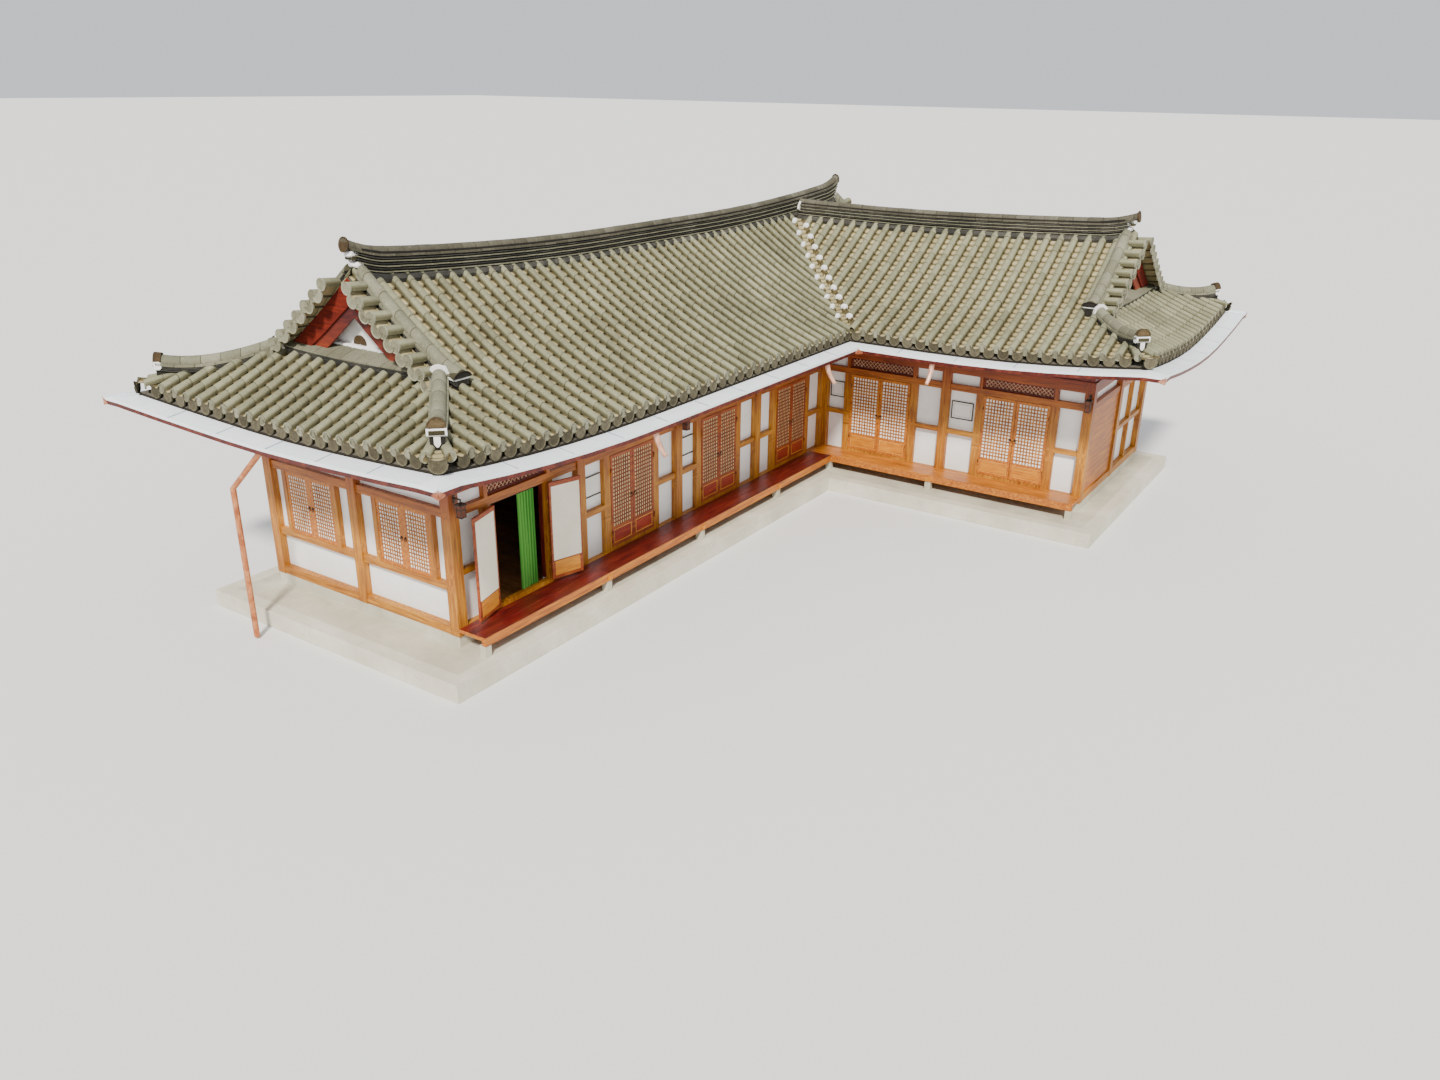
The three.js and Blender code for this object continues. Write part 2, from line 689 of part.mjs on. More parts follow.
function wallStations() {
  return FACE_CORNERS.map((point, i) => {
    const before = FACE_CORNERS[(i + FACE_CORNERS.length - 1) % FACE_CORNERS.length];
    const after = FACE_CORNERS[(i + 1) % FACE_CORNERS.length];
    const n = outwardNormal(point, after);
    const m = outwardNormal(before, point);
    return { point, outward: [n[0] + m[0], n[1] + m[1]], lift: 0 };
  });
}

function sweep(stations, section, base) {
  const rings = stations.map(({ point, outward, lift }) => section.map(([o, z]) => (
    new THREE.Vector3(point[0] + outward[0] * o, point[1] + outward[1] * o, base + lift + z))));
  return loft(rings, true);
}

// The height of the gutter sheet's underside, from the bed at the eave, at a distance out.
function gutterUnder(out) {
  return GUTTER_HIGH - GUTTER_SHEET + (GUTTER_LOW - GUTTER_HIGH) * out / GUTTER_WIDTH;
}

// A shallow trough that falls outward to a low upturned lip.
function gutter() {
  const lip = GUTTER_WIDTH - GUTTER_SHEET;
  return sweep(eaveStations(), [
    [SEAT_GAP, gutterUnder(0)], [GUTTER_WIDTH, gutterUnder(GUTTER_WIDTH)], [GUTTER_WIDTH, GUTTER_LIP],
    [lip, GUTTER_LIP], [lip, GUTTER_LOW], [SEAT_GAP, GUTTER_HIGH],
  ], BED_EAVE);
}

function fascia() {
  const top = gutterUnder(GUTTER_WIDTH) - SEAT_GAP;
  return sweep(eaveStations(), [
    [GUTTER_WIDTH - FASCIA_THICKNESS, top - FASCIA_HEIGHT], [GUTTER_WIDTH, top - FASCIA_HEIGHT],
    [GUTTER_WIDTH, top], [GUTTER_WIDTH - FASCIA_THICKNESS, top],
  ], BED_EAVE);
}

// The eave beam: a plate, a round purlin on it, and the web that closes the wall to the roof.
function eaveBeam() {
  const section = [
    [-160, 0], [-40, 0], [-40, 330], [40, 400], [40, 560], [-10, 620], [-70, 620], [-70, 1600],
    [-130, 1600], [-130, 620], [-190, 620], [-240, 560], [-240, 400], [-160, 330],
  ];
  return mainBody(cut(sweep(wallStations(), section, WALL_TOP), [...allRoof, roofSky()]));
}

// Everything above the middle of the roof's slabs, to trim what stands up through them.
function roofSky() {
  const outlines = Object.keys(OUTLINES);
  return join(outlines.map((name) => {
    const slope = SLOPES[name] || SLOPES.longFront;
    const rows = stationsBetween(SLAB_ROWS, (t) => t * HALF_SPAN);
    const columns = stationsBetween(12, (t) => t * slope.length);
    const grid = (rise) => rows.map((d) => columns.map((s) => bedPoint(slope, s, d, rise)));
    const body = gridSolid(grid(4000), grid(-SLAB_EAVE / 2));
    return body.intersect(prism(OUTLINES[name], 0, 9000));
  }));
}

// Walls. Each facade is drawn as seen from outside: u to the right, v inward, z up.

const FACADES = {
  yard: { at: [0, 0], turn: 0, length: LONG_LENGTH, columns: LONG_COLUMNS, ends: ['own', 'stud'],
    bays: ['door', 'door', 'door', 'door'], centres: LONG_DOORS, leaf: LONG_LEAF },
  wing_yard: { at: [LONG_LENGTH, 0], turn: -90, length: WING_LENGTH, columns: [WING_COLUMN],
    ends: ['corner', 'open'], bays: ['door', 'door'], centres: WING_DOORS, leaf: WING_LEAF },
  wing_end: { at: [LONG_LENGTH, -WING_LENGTH], turn: 0, length: DEPTH, columns: [DEPTH / 2],
    ends: ['own', 'open'], bays: ['boards', 'plain'] },
  outer: { at: [RIGHT_FACE, -WING_LENGTH], turn: 90, length: WING_LENGTH + DEPTH,
    columns: [WING_LENGTH - WING_COLUMN, WING_LENGTH, WING_LENGTH + DEPTH / 2], ends: ['own', 'open'],
    bays: ['plain', 'window', 'plain', 'plain'] },
  back: { at: [RIGHT_FACE, DEPTH], turn: 180, length: RIGHT_FACE,
    columns: [DEPTH / 2, DEPTH, ...LONG_COLUMNS.map((x) => RIGHT_FACE - x).reverse()],
    ends: ['own', 'open'], bays: ['plain', 'plain', 'window', 'plain', 'window', 'plain'] },
  left_end: { at: [0, DEPTH], turn: -90, length: DEPTH, columns: [DEPTH / 2], ends: ['own', 'open'],
    bays: ['window', 'window'] },
};

// The clear stretch of each bay between its columns, with its kind and its opening's middle.
function baysOf(facade) {
  const first = { own: COLUMN, corner: CORNER_STUD }[facade.ends[0]];
  const last = { stud: CORNER_STUD, open: COLUMN }[facade.ends[1]];
  const posts = facade.columns.map((u) => [u - COLUMN / 2, u + COLUMN / 2]);
  const edges = [first, ...posts.flat(), facade.length - last];
  const lines = [0, ...facade.columns, facade.length];
  return facade.bays.map((kind, i) => {
    const from = edges[2 * i];
    const to = edges[2 * i + 1];
    const middle = facade.centres ? facade.centres[i] : (lines[i] + lines[i + 1]) / 2;
    return { kind, from, to, middle };
  });
}

function frameBox(u0, u1, z0, z1, setback = RAIL_SETBACK) {
  return box(u0, u1, setback, FRAME_DEPTH, z0, z1);
}

function hingeSeat(u, side, z) {
  const inner = HINGE_SETBACK;
  return join([
    barrel(u, inner, z - HINGE_LENGTH, z - SEAT_GAP),
    box(Math.min(u, u - side * HINGE_RADIUS * 0.8), Math.max(u, u - side * HINGE_RADIUS * 0.8),
      inner, RAIL_SETBACK + 10, z - HINGE_LENGTH, z - SEAT_GAP),
  ]);
}

function doorParts(bay, leaf) {
  const parts = [frameBox(bay.middle - leaf, bay.middle + leaf, FLOOR, FLOOR + THRESHOLD)];
  for (const side of [-1, 1]) {
    const inner = bay.middle + side * leaf;
    const outer = inner + side * DOOR_JAMB;
    const post = side < 0 ? bay.from : bay.to;
    parts.push(frameBox(Math.min(inner, outer), Math.max(inner, outer), FLOOR, DOOR_HEAD));
    const [from, to] = [Math.min(outer, post), Math.max(outer, post)];
    parts.push(frameBox(from, to, CHAIR_RAIL_TOP - CHAIR_RAIL, CHAIR_RAIL_TOP));
    const stud = inner + side * DOOR_JAMB / 2;
    parts.push(frameBox(stud - BAND_STUD / 2, stud + BAND_STUD / 2, HEAD_RAIL_TOP, BAND_TOP));
    for (const z of HINGE_HEIGHTS) {
      parts.push(hingeSeat(inner, -side, z));
    }
  }
  return parts;
}

function windowParts(bay) {
  const parts = [frameBox(bay.from, bay.to, WINDOW_SILL_TOP - WINDOW_SILL, WINDOW_SILL_TOP)];
  for (const side of [-1, 1]) {
    const inner = bay.middle + side * WINDOW_HALF;
    const outer = inner + side * WINDOW_JAMB;
    parts.push(frameBox(Math.min(inner, outer), Math.max(inner, outer), WINDOW_SILL_TOP, DOOR_HEAD));
  }
  return parts;
}

function plainParts(bay) {
  return [
    frameBox(bay.from, bay.to, CHAIR_RAIL_TOP - CHAIR_RAIL, CHAIR_RAIL_TOP),
    frameBox(bay.middle - BAND_STUD / 2, bay.middle + BAND_STUD / 2, FLOOR, DOOR_HEAD),
  ];
}

function wallFrame(facade) {
  const { length, columns, ends, leaf } = facade;
  const last = ends[1] === 'stud' ? length : length - COLUMN;
  const first = 0;
  const parts = [
    frameBox(first, last, PLINTH_TOP, FLOOR, BEAM_SETBACK),
    frameBox(first, last, DOOR_HEAD, HEAD_RAIL_TOP),
    frameBox(first, last, BAND_TOP, WALL_TOP, BEAM_SETBACK),
  ];
  for (const u of columns) {
    parts.push(frameBox(u - COLUMN / 2, u + COLUMN / 2, PLINTH_TOP, WALL_TOP, 0));
  }
  if (ends[0] === 'own') parts.push(box(0, COLUMN, 0, WALL_DEPTH, PLINTH_TOP, WALL_TOP));
  if (ends[0] === 'corner') {
    parts.push(box(-COLUMN, 0, 0, WALL_DEPTH, PLINTH_TOP, WALL_TOP));
    parts.push(frameBox(0, CORNER_STUD, PLINTH_TOP, WALL_TOP, 0));
  }
  if (ends[1] === 'stud') parts.push(frameBox(length - CORNER_STUD, length, PLINTH_TOP, WALL_TOP, 0));
  for (const bay of baysOf(facade)) {
    if (bay.kind === 'door') parts.push(...doorParts(bay, leaf));
    if (bay.kind === 'window') parts.push(...windowParts(bay));
    if (bay.kind === 'plain') parts.push(...plainParts(bay));
  }
  return join(parts);
}

// The plaster sheet behind the frame, cut through at doors and windows.
function wallPlaster(facade) {
  const { length, ends, leaf } = facade;
  const from = ends[0] === 'corner' ? 0 : COLUMN;
  const to = ends[1] === 'stud' ? length : length - COLUMN;
  const sheet = box(from, to, FRAME_DEPTH, WALL_DEPTH, PLINTH_TOP, WALL_TOP);
  const holes = baysOf(facade).filter(({ kind }) => kind === 'door' || kind === 'window');
  return cut(sheet, holes.map(({ kind, middle }) => {
    const half = kind === 'door' ? leaf : WINDOW_HALF;
    const low = kind === 'door' ? FLOOR : WINDOW_SILL_TOP;
    return box(middle - half, middle + half, FRAME_DEPTH - 10, WALL_DEPTH + 10, low, DOOR_HEAD);
  }));
}

// A leaf in its own frame: the hinge axis at 0, 0, the leaf running to +X, its face to -Y.
function doorLeaf(leaf) {
  const face = LEAF_SETBACK - HINGE_SETBACK;
  const width = leaf - MEETING_GAP;
  const low = FLOOR + THRESHOLD + LEAF_GAP;
  const high = DOOR_HEAD - LEAF_GAP;
  const kickTop = low + KICK_BOARD;
  const body = box(LEAF_GAP, width, face, face + LEAF_THICKNESS, low, high);
  const [from, to] = [LEAF_GAP + STILE, width - STILE];
  const lattice = box(from, to, face - 1, face + LATTICE_RECESS, kickTop + STILE, high - STILE);
  const kick = box(from, to, face - 1, face + KICK_RECESS, low + STILE, kickTop);
  const hinges = HINGE_HEIGHTS.map((z) => join([
    barrel(0, 0, z, z + HINGE_LENGTH),
    box(0, LEAF_GAP + 4, -3, face + 4, z, z + HINGE_LENGTH),
    box(LEAF_GAP, STRAP_LENGTH, face - STRAP_THICKNESS, face + 4, z + 15, z + 45),
  ]));
  return join([cut(body, [lattice, kick]), ...hinges]);
}

function windowPair() {
  const half = WINDOW_HALF - SEAT_GAP;
  const low = WINDOW_SILL_TOP + SEAT_GAP;
  const high = DOOR_HEAD - SEAT_GAP;
  const face = RAIL_SETBACK + 10;
  const body = box(-half, half, face, face + LEAF_THICKNESS, low, high);
  const panes = [-1, 1].map((side) => {
    const near = side * MEETING_STILE;
    const far = side * (half - STILE);
    const [from, to] = [Math.min(near, far), Math.max(near, far)];
    return box(from, to, face - 1, face + LATTICE_RECESS, low + STILE, high - STILE);
  });
  return cut(body, panes);
}

function boardPanel(bay) {
  return box(bay.from + SEAT_GAP, bay.to - SEAT_GAP, RAIL_SETBACK + 20, FRAME_DEPTH - SEAT_GAP,
    FLOOR + SEAT_GAP, DOOR_HEAD - SEAT_GAP);
}

// Platform, floor and veranda.

function houseOutline(inset) {
  return offset(FACE_CORNERS, -inset);
}

function platform() {
  const base = prism([
    [-END_PLATFORM, -YARD_PLATFORM], [LONG_LENGTH - WING_PLATFORM, -YARD_PLATFORM],
    [LONG_LENGTH - WING_PLATFORM, -WING_LENGTH - BACK_PLATFORM],
    [RIGHT_FACE + BACK_PLATFORM, -WING_LENGTH - BACK_PLATFORM],
    [RIGHT_FACE + BACK_PLATFORM, DEPTH + BACK_PLATFORM], [-END_PLATFORM, DEPTH + BACK_PLATFORM],
  ], 0, PLATFORM_TOP);
  const plinth = cut(prism(houseOutline(PLINTH_SETBACK), PLATFORM_TOP - 50, PLINTH_TOP),
    [prism(houseOutline(PLINTH_SETBACK + PLINTH_WIDTH), PLATFORM_TOP, PLINTH_TOP + 10)]);
  return join([base, plinth, ...stonePosts()]);
}

// Short stone posts that carry the veranda's edge at the column lines.
function stonePosts() {
  const out = VERANDA_DEPTH - POST_INSET - STONE_POST / 2;
  const edge = LONG_LENGTH - out;
  const places = [STONE_POST / 2, ...LONG_COLUMNS, edge].map((x) => [x, -out]);
  places.push([edge, -WING_COLUMN], [edge, -WING_LENGTH + STONE_POST / 2]);
  const half = STONE_POST / 2;
  return places.map(([x, y]) => box(x - half, x + half, y - half, y + half, PLATFORM_TOP - 20, PLINTH_TOP));
}

// The veranda's boards, with a deeper edge beam all along the yard side.
function veranda() {
  const edge = LONG_LENGTH - VERANDA_DEPTH;
  const outline = (inset) => [
    [0, -VERANDA_DEPTH + inset], [edge + inset, -VERANDA_DEPTH + inset],
    [edge + inset, -WING_LENGTH], [LONG_LENGTH, -WING_LENGTH], [LONG_LENGTH, 0], [0, 0],
  ];
  const boards = prism(outline(0), FLOOR - VERANDA_BOARD, FLOOR);
  const beams = cut(prism(outline(0), PLINTH_TOP + SEAT_GAP, FLOOR - VERANDA_BOARD / 2), [
    prism([[-10, -VERANDA_DEPTH + VERANDA_EDGE], [edge + VERANDA_EDGE, -VERANDA_DEPTH + VERANDA_EDGE],
      [edge + VERANDA_EDGE, -WING_LENGTH - 10], [LONG_LENGTH + 10, -WING_LENGTH - 10],
      [LONG_LENGTH + 10, 10], [-10, 10]], PLINTH_TOP, FLOOR - VERANDA_BOARD),
  ]);
  return boards.add(beams);
}

function roomFloor() {
  return prism(houseOutline(WALL_DEPTH + SEAT_GAP), PLINTH_TOP + SEAT_GAP, FLOOR);
}

// A round section of a pipe: eight points about its centre.
function roundRing(centre, side, across, radius) {
  return Array.from({ length: 8 }, (unused, k) => {
    const angle = k * Math.PI / 4;
    return centre.clone()
      .addScaledVector(side, radius * Math.cos(angle))
      .addScaledVector(across, radius * Math.sin(angle));
  });
}

// Rain spouts: tapering sheet-metal outlets below the gutter's lip, curved outward.

function spoutSolid() {
  const curve = new THREE.QuadraticBezierCurve3(
    new THREE.Vector3(0, 0, 0),
    new THREE.Vector3(0, 0, -SPOUT_BEND),
    new THREE.Vector3(0, -SPOUT_REACH, -SPOUT_DROP),
  );
  const rings = stationsBetween(6, (t) => {
    const centre = curve.getPoint(t);
    const radius = SPOUT_RADIUS - SPOUT_TAPER * t;
    const tangent = curve.getTangent(t);
    const side = new THREE.Vector3(1, 0, 0);
    const across = new THREE.Vector3().crossVectors(tangent, side).normalize();
    return roundRing(centre, side, across, radius);
  });
  return loft(rings);
}

// The downpipe at the left end: a slanting length from the gutter, then one down to the ground.
function downpipe() {
  const mouth = roundRing(new THREE.Vector3(PIPE_X, PIPE_TOP_Y, 0), X, Y, PIPE_RADIUS);
  const top = Math.min(...mouth.map(({ x, y }) => leftGutterUnder(x, y))) - SEAT_GAP;
  const points = [
    new THREE.Vector3(PIPE_X, PIPE_TOP_Y, top),
    new THREE.Vector3(PIPE_X, PIPE_TOP_Y + PIPE_RADIUS * 0.4, top - PIPE_RADIUS),
    new THREE.Vector3(PIPE_X, PIPE_Y, PIPE_BEND_Z),
    new THREE.Vector3(PIPE_X, PIPE_Y, PIPE_FOOT_Z),
  ];
  const rings = points.map((point, i) => {
    const before = points[Math.max(0, i - 1)];
    const after = points[Math.min(points.length - 1, i + 1)];
    const way = new THREE.Vector3().subVectors(after, before).normalize();
    if (i === 0) way.set(0, 0, -1);
    const across = new THREE.Vector3().crossVectors(way, X).normalize();
    return roundRing(point, X, across, PIPE_RADIUS);
  });
  return loft(rings);
}

// The underside of the left gutter, on the straight lines between the eave's stops.
function leftGutterUnder(x, y) {
  const slope = SLOPES.longEnd;
  const { length, lifts } = slope;
  const stops = liftStops(length, lifts);
  const s = BACK - y;
  const k = stops.findIndex((stop) => stop >= s);
  const [low, high] = [stops[k - 1], stops[k]];
  const between = (value) => value(low) + (value(high) - value(low)) * (s - low) / (high - low);
  const out = LEFT + between((stop) => eaveBow(slope, stop)) - x;
  return BED_EAVE + between((stop) => eaveRise(slope, lifts, length, stop)) + gutterUnder(out);
}

// The house.

const house = new THREE.Group();

function piece(name, look, geometry, parent = house) {
  const mesh = new THREE.Mesh(geometry, new THREE.MeshStandardMaterial(MATERIALS[look]));
  mesh.name = name;
  parent.add(mesh);
  return mesh;
}

function addBase() {
  piece('platform', 'stone', toGeometry(platform()));
  piece('room_floor', 'floor', toGeometry(roomFloor()));
  piece('veranda_deck', 'deck', toGeometry(veranda()));
}

const OPEN_DOOR = 'yard_door_1';

function addDoors(group, name, facade) {
  baysOf(facade).forEach((bay, i) => {
    if (bay.kind !== 'door') return;
    const door = `${name}_door_${i + 1}`;
    const angle = THREE.MathUtils.degToRad(door === OPEN_DOOR ? OPEN_ANGLE : 0);
    const left = piece(`${door}_left_leaf`, 'timber', toGeometry(doorLeaf(facade.leaf)), group);
    left.position.set(bay.middle - facade.leaf, HINGE_SETBACK, 0);
    left.rotation.z = -angle;
    const right = piece(`${door}_right_leaf`, 'timber', mirrored(toGeometry(doorLeaf(facade.leaf))), group);
    right.position.set(bay.middle + facade.leaf, HINGE_SETBACK, 0);
    right.rotation.z = angle;
  });
}

function addWall(name, facade) {
  const group = new THREE.Group();
  group.position.set(facade.at[0], facade.at[1], 0);
  group.rotation.z = THREE.MathUtils.degToRad(facade.turn);
  house.add(group);
  piece(`${name}_timber_frame`, 'timber', toGeometry(wallFrame(facade)), group);
  piece(`${name}_plaster_wall`, 'plaster', toGeometry(wallPlaster(facade)), group);
  addDoors(group, name, facade);
  baysOf(facade).forEach((bay, i) => {
    if (bay.kind === 'window') {
      const pair = piece(`${name}_window_${i + 1}`, 'timber', toGeometry(windowPair()), group);
      pair.position.x = bay.middle;
    }
    if (bay.kind === 'boards') piece(`${name}_boards`, 'dark_timber', toGeometry(boardPanel(bay)), group);
  });
}

function addRoof() {
  const { longFront, longBack, longEnd, farFront, wingYard, wingOuter, wingEnd } = roofCutters;
  piece('roof_long_front', 'tile', toGeometry(roofSlab('longFront', 0)));
  piece('roof_long_back', 'tile', toGeometry(longBackSlope()));
  piece('roof_long_end', 'tile', toGeometry(mainBody(cut(roofSlab('longEnd', 0), [longFront, longBack]))));
  piece('roof_wing_yard', 'tile', toGeometry(roofSlab('wingYard', 0)));
  piece('roof_wing_outer', 'tile', toGeometry(mainBody(cut(roofSlab('wingOuter', 0), [longBack, farFront]))));
  piece('roof_wing_end', 'tile', toGeometry(mainBody(cut(roofSlab('wingEnd', 0), [wingYard, wingOuter]))));
  piece('eave_beam', 'dark_timber', toGeometry(eaveBeam()));
  piece('gutter', 'sheet', toGeometry(gutter()));
  piece('fascia', 'dark_timber', toGeometry(fascia()));
  piece('main_ridge', 'tile', toGeometry(mainBody(cut(mainRidge(), allRoof))));
  const top = mainRidge(CLEARANCE);
  piece('wing_ridge', 'tile', toGeometry(mainBody(cut(wingRidge(), [...allRoof, top]))));
  const wingTop = wingRidge(CLEARANCE);
  piece('left_gable_ridges', 'tile', toGeometry(mainBody(cut(leftGableRidges(), [...allRoof, top]))));
  piece('wing_gable_ridges', 'tile', toGeometry(mainBody(cut(wingGableRidges(), [...allRoof, wingTop]))));
  piece('far_gable_ridges', 'tile', toGeometry(mainBody(cut(farGableRidges(), [...allRoof, top]))));
  piece('left_gable', 'dark_timber', toGeometry(gable(
    gablePlace(X, new THREE.Vector3(leftVerge, RIDGE_Y, 0)),
    { slope: SLOPES.longFront, s: LEFT_VERGE }, LEFT_SKIRT,
    [...allRoof, leftGableRidges(CLEARANCE), top],
  )));
  piece('wing_gable', 'dark_timber', toGeometry(gable(
    gablePlace(Y, new THREE.Vector3(RIDGE_X, wingVerge, 0)),
    { slope: SLOPES.wingYard, s: OTHER_VERGE }, OTHER_SKIRT,
    [...allRoof, wingGableRidges(CLEARANCE), wingTop],
  )));
  piece('far_gable', 'dark_timber', toGeometry(gable(
    gablePlace(X.clone().negate(), new THREE.Vector3(farVerge, RIDGE_Y, 0)),
    { slope: SLOPES.longBack, s: OTHER_VERGE }, OTHER_SKIRT,
    [...allRoof, farGableRidges(CLEARANCE), top],
  )));
}

function addSpouts() {
  const out = GUTTER_WIDTH - FASCIA_THICKNESS - SPOUT_RADIUS - SPOUT_MARGIN;
  const outward = OVERHANG + out;
  const high = BED_EAVE + gutterUnder(out + SPOUT_RADIUS) - SEAT_GAP;
  const solid = toGeometry(spoutSolid());
  const first = piece('yard_spout_1', 'copper', solid);
  first.position.set(YARD_SPOUTS[0], -outward, high);
  const second = piece('yard_spout_2', 'copper', solid);
  second.position.set(YARD_SPOUTS[1], -outward, high);
  const third = piece('wing_spout', 'copper', solid);
  const fromCorner = WING_LENGTH + OVERHANG - WING_SPOUT + SPOUT_RADIUS;
  third.position.set(LONG_LENGTH - outward, -WING_SPOUT, high + cornerLift(fromCorner, 0));
  third.rotation.z = -Math.PI / 2;
  piece('left_end_downpipe', 'copper', toGeometry(downpipe()));
}

addBase();
Object.entries(FACADES).forEach(([name, facade]) => addWall(name, facade));
addRoof();
addSpouts();

export default house;
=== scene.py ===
"""A hanok house: tiles, timber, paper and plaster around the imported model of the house."""

import math

import bpy
import numpy as np
from mathutils import Matrix, Vector


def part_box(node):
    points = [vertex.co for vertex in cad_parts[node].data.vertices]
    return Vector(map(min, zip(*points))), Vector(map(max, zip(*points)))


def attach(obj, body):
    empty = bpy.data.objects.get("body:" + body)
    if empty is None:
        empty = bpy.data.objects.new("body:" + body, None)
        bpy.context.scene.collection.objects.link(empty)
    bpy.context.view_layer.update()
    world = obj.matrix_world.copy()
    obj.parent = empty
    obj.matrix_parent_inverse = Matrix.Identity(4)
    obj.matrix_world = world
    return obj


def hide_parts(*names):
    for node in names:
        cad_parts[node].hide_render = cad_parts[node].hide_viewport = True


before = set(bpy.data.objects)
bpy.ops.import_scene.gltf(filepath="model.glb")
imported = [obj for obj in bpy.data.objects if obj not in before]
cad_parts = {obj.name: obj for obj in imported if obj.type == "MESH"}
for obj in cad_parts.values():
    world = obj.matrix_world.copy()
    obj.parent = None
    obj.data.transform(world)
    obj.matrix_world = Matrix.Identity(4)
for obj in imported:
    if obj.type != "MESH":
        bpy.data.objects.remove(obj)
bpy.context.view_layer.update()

# Plan lines of the eaves and the walls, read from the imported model.
LEFT, FRONT = [round(value, 2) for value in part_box("roof_long_front")[0][:2]]
RIGHT, BACK = [round(value, 2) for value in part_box("roof_long_back")[1][:2]]
WING_LEFT, WING_FRONT = [round(value, 2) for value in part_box("roof_wing_yard")[0][:2]]
HALF_SPAN = (BACK - FRONT) / 2
RIDGE_Y = (BACK + FRONT) / 2
RIDGE_X = (RIGHT + WING_LEFT) / 2
OVERHANG = 1.25
DEPTH = BACK - OVERHANG
LONG_LENGTH = WING_LEFT + OVERHANG
WING_LENGTH = -WING_FRONT - OVERHANG
RIGHT_FACE = RIGHT - OVERHANG

# Heights of the walls.
PLATFORM_TOP = 0.3
PLINTH_TOP = 0.5
FLOOR = 0.65
CHAIR_RAIL_TOP = 1.61
WINDOW_SILL_TOP = 1.39
DOOR_HEAD = 2.51
HEAD_RAIL_TOP = 2.65
BAND_TOP = 2.9
WALL_TOP = 3.14
WALL_FACE = 0.13
PLASTER_BACK = 0.2

# The roof's tile bed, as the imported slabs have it.
BED_EAVE = 3.61
PITCH = 0.42
CURVE = 0.041
CORNER_LIFT = 0.29
LIFT_REACH = 4.5
MAIN_TOP_LIFT = 0.49
WING_TOP_LIFT = 0.26
JUNCTION_LIFT = 0.2
TOP_LIFT_REACH = 8.0
TOP_LIFT_START = 1.7
LEFT_BOW = 0.15
LEFT_VERGE = 1.67
OTHER_VERGE = 1.45
GABLE_INSET = 0.28
GABLE_LOW = 4.15
COPED = 0.08

# Tiles: barrels over channels.
ROW = 0.305
BARREL = 0.082
BARREL_LENGTH = 0.3
BARREL_RISE = 0.083
CHANNEL_STEP = 0.15
CHANNEL_BASE = 0.02
CHANNEL_SAG = 0.055
CHANNEL_LIP = 0.03
EAVE_LAY = 0.115
LAY_REACH = 3.4
PLATE = 0.122
DISC = 0.083
CORNER_PLATE = 0.145
VALLEY_WIDTH = 0.36
VERGE_STEP = 0.244
VERGE_REACH = 0.27
VERGE_BARREL = 0.1
VERGE_RISE = 0.12
RIDGE_TILE = 0.32

# Ridges: heights above the bed.
RIDGE_TOP = 0.47
WING_RIDGE_TOP = 0.43
RIDGE_CURL = 0.13
CURL_REACH = 0.75
BRANCH_START = 0.15
BRANCH_INSET = 0.18
BRANCH_TOP = 0.33
BRANCH_CAP = 0.112
BRANCH_SIDE = 0.14
BRANCH_END = 0.06
LEFT_BRANCH_END = 0.3
BRANCH_CURL = 0.1
HIP_START = 0.08
HIP_END = 0.25
HIP_TOP = 0.3
HIP_CURL = 0.28

# The gutter: its width and its drops below the bed at the eave.
GUTTER_WIDTH = 0.4
GUTTER_HIGH = -0.045
GUTTER_LOW = -0.097
GUTTER_LIP = -0.06
GUTTER_SEAM = 1.2

# The photograph's camera: where it stands, where it looks, and its focal length.
CAMERA_PLACE = (-11.062, -12.253, 8.858)
CAMERA_YAW = 0.58163
CAMERA_PITCH = 0.39179
CAMERA_ROLL = 0.01302
CAMERA_LENS = 27.94
SENSOR_WIDTH = 36.0

# Soft studio light, with one broad source high on the left.
WORLD_STRENGTH = 0.88
SUN_STRENGTH = 6.0
SUN_WAY = (0.62, 0.36, -0.7)

random = np.random.default_rng(7)


# Meshes.

def moved(points, place):
    """Points of any array shape, taken to a place."""
    return points @ np.array(place.to_3x3()).T + np.array(place.translation)


def flux(grids):
    """Positive where a closed tube's faces look outward."""
    ahead = np.roll(grids, -1, axis=2)
    along, across = grids[:, 1:] - grids[:, :-1], ahead - grids
    normals = np.cross(across[:, :-1], along)
    centres = (grids[:, 1:] + ahead[:, :-1]) / 2 - grids.mean(axis=(1, 2), keepdims=True)
    return (normals * centres).sum(axis=(1, 2, 3))


def leaning(grids):
    """Which way the faces of open sheets look, one vector for each."""
    across, along = grids[:, :-1, 1:] - grids[:, :-1, :-1], grids[:, 1:, :-1] - grids[:, :-1, :-1]
    return np.cross(across, along).sum(axis=(1, 2))


def unit(vector):
    vector = np.asarray(vector, float)
    return vector / np.linalg.norm(vector)


PLAIN_GRAIN = (0.0, 0.5, 0.0)


def upright(centre, out):
    """A frame at a point: x across, y outward, z up."""
    out = unit(out)
    side = unit(np.cross(out, (0, 0, 1)))
    rows = [(side[i], out[i], np.cross(side, out)[i], centre[i]) for i in range(3)]
    return Matrix((*rows, (0, 0, 0, 1)))


def ring_faces(columns):
    """The faces that close a ring of points, like rungs between its two sides."""
    faces = []
    for a in range((columns - 1) // 2):
        b, c, d = a + 1, columns - 2 - a, columns - 1 - a
        faces.append((a, b, d))
        if b < c:
            faces.append((b, c, d))
    return faces


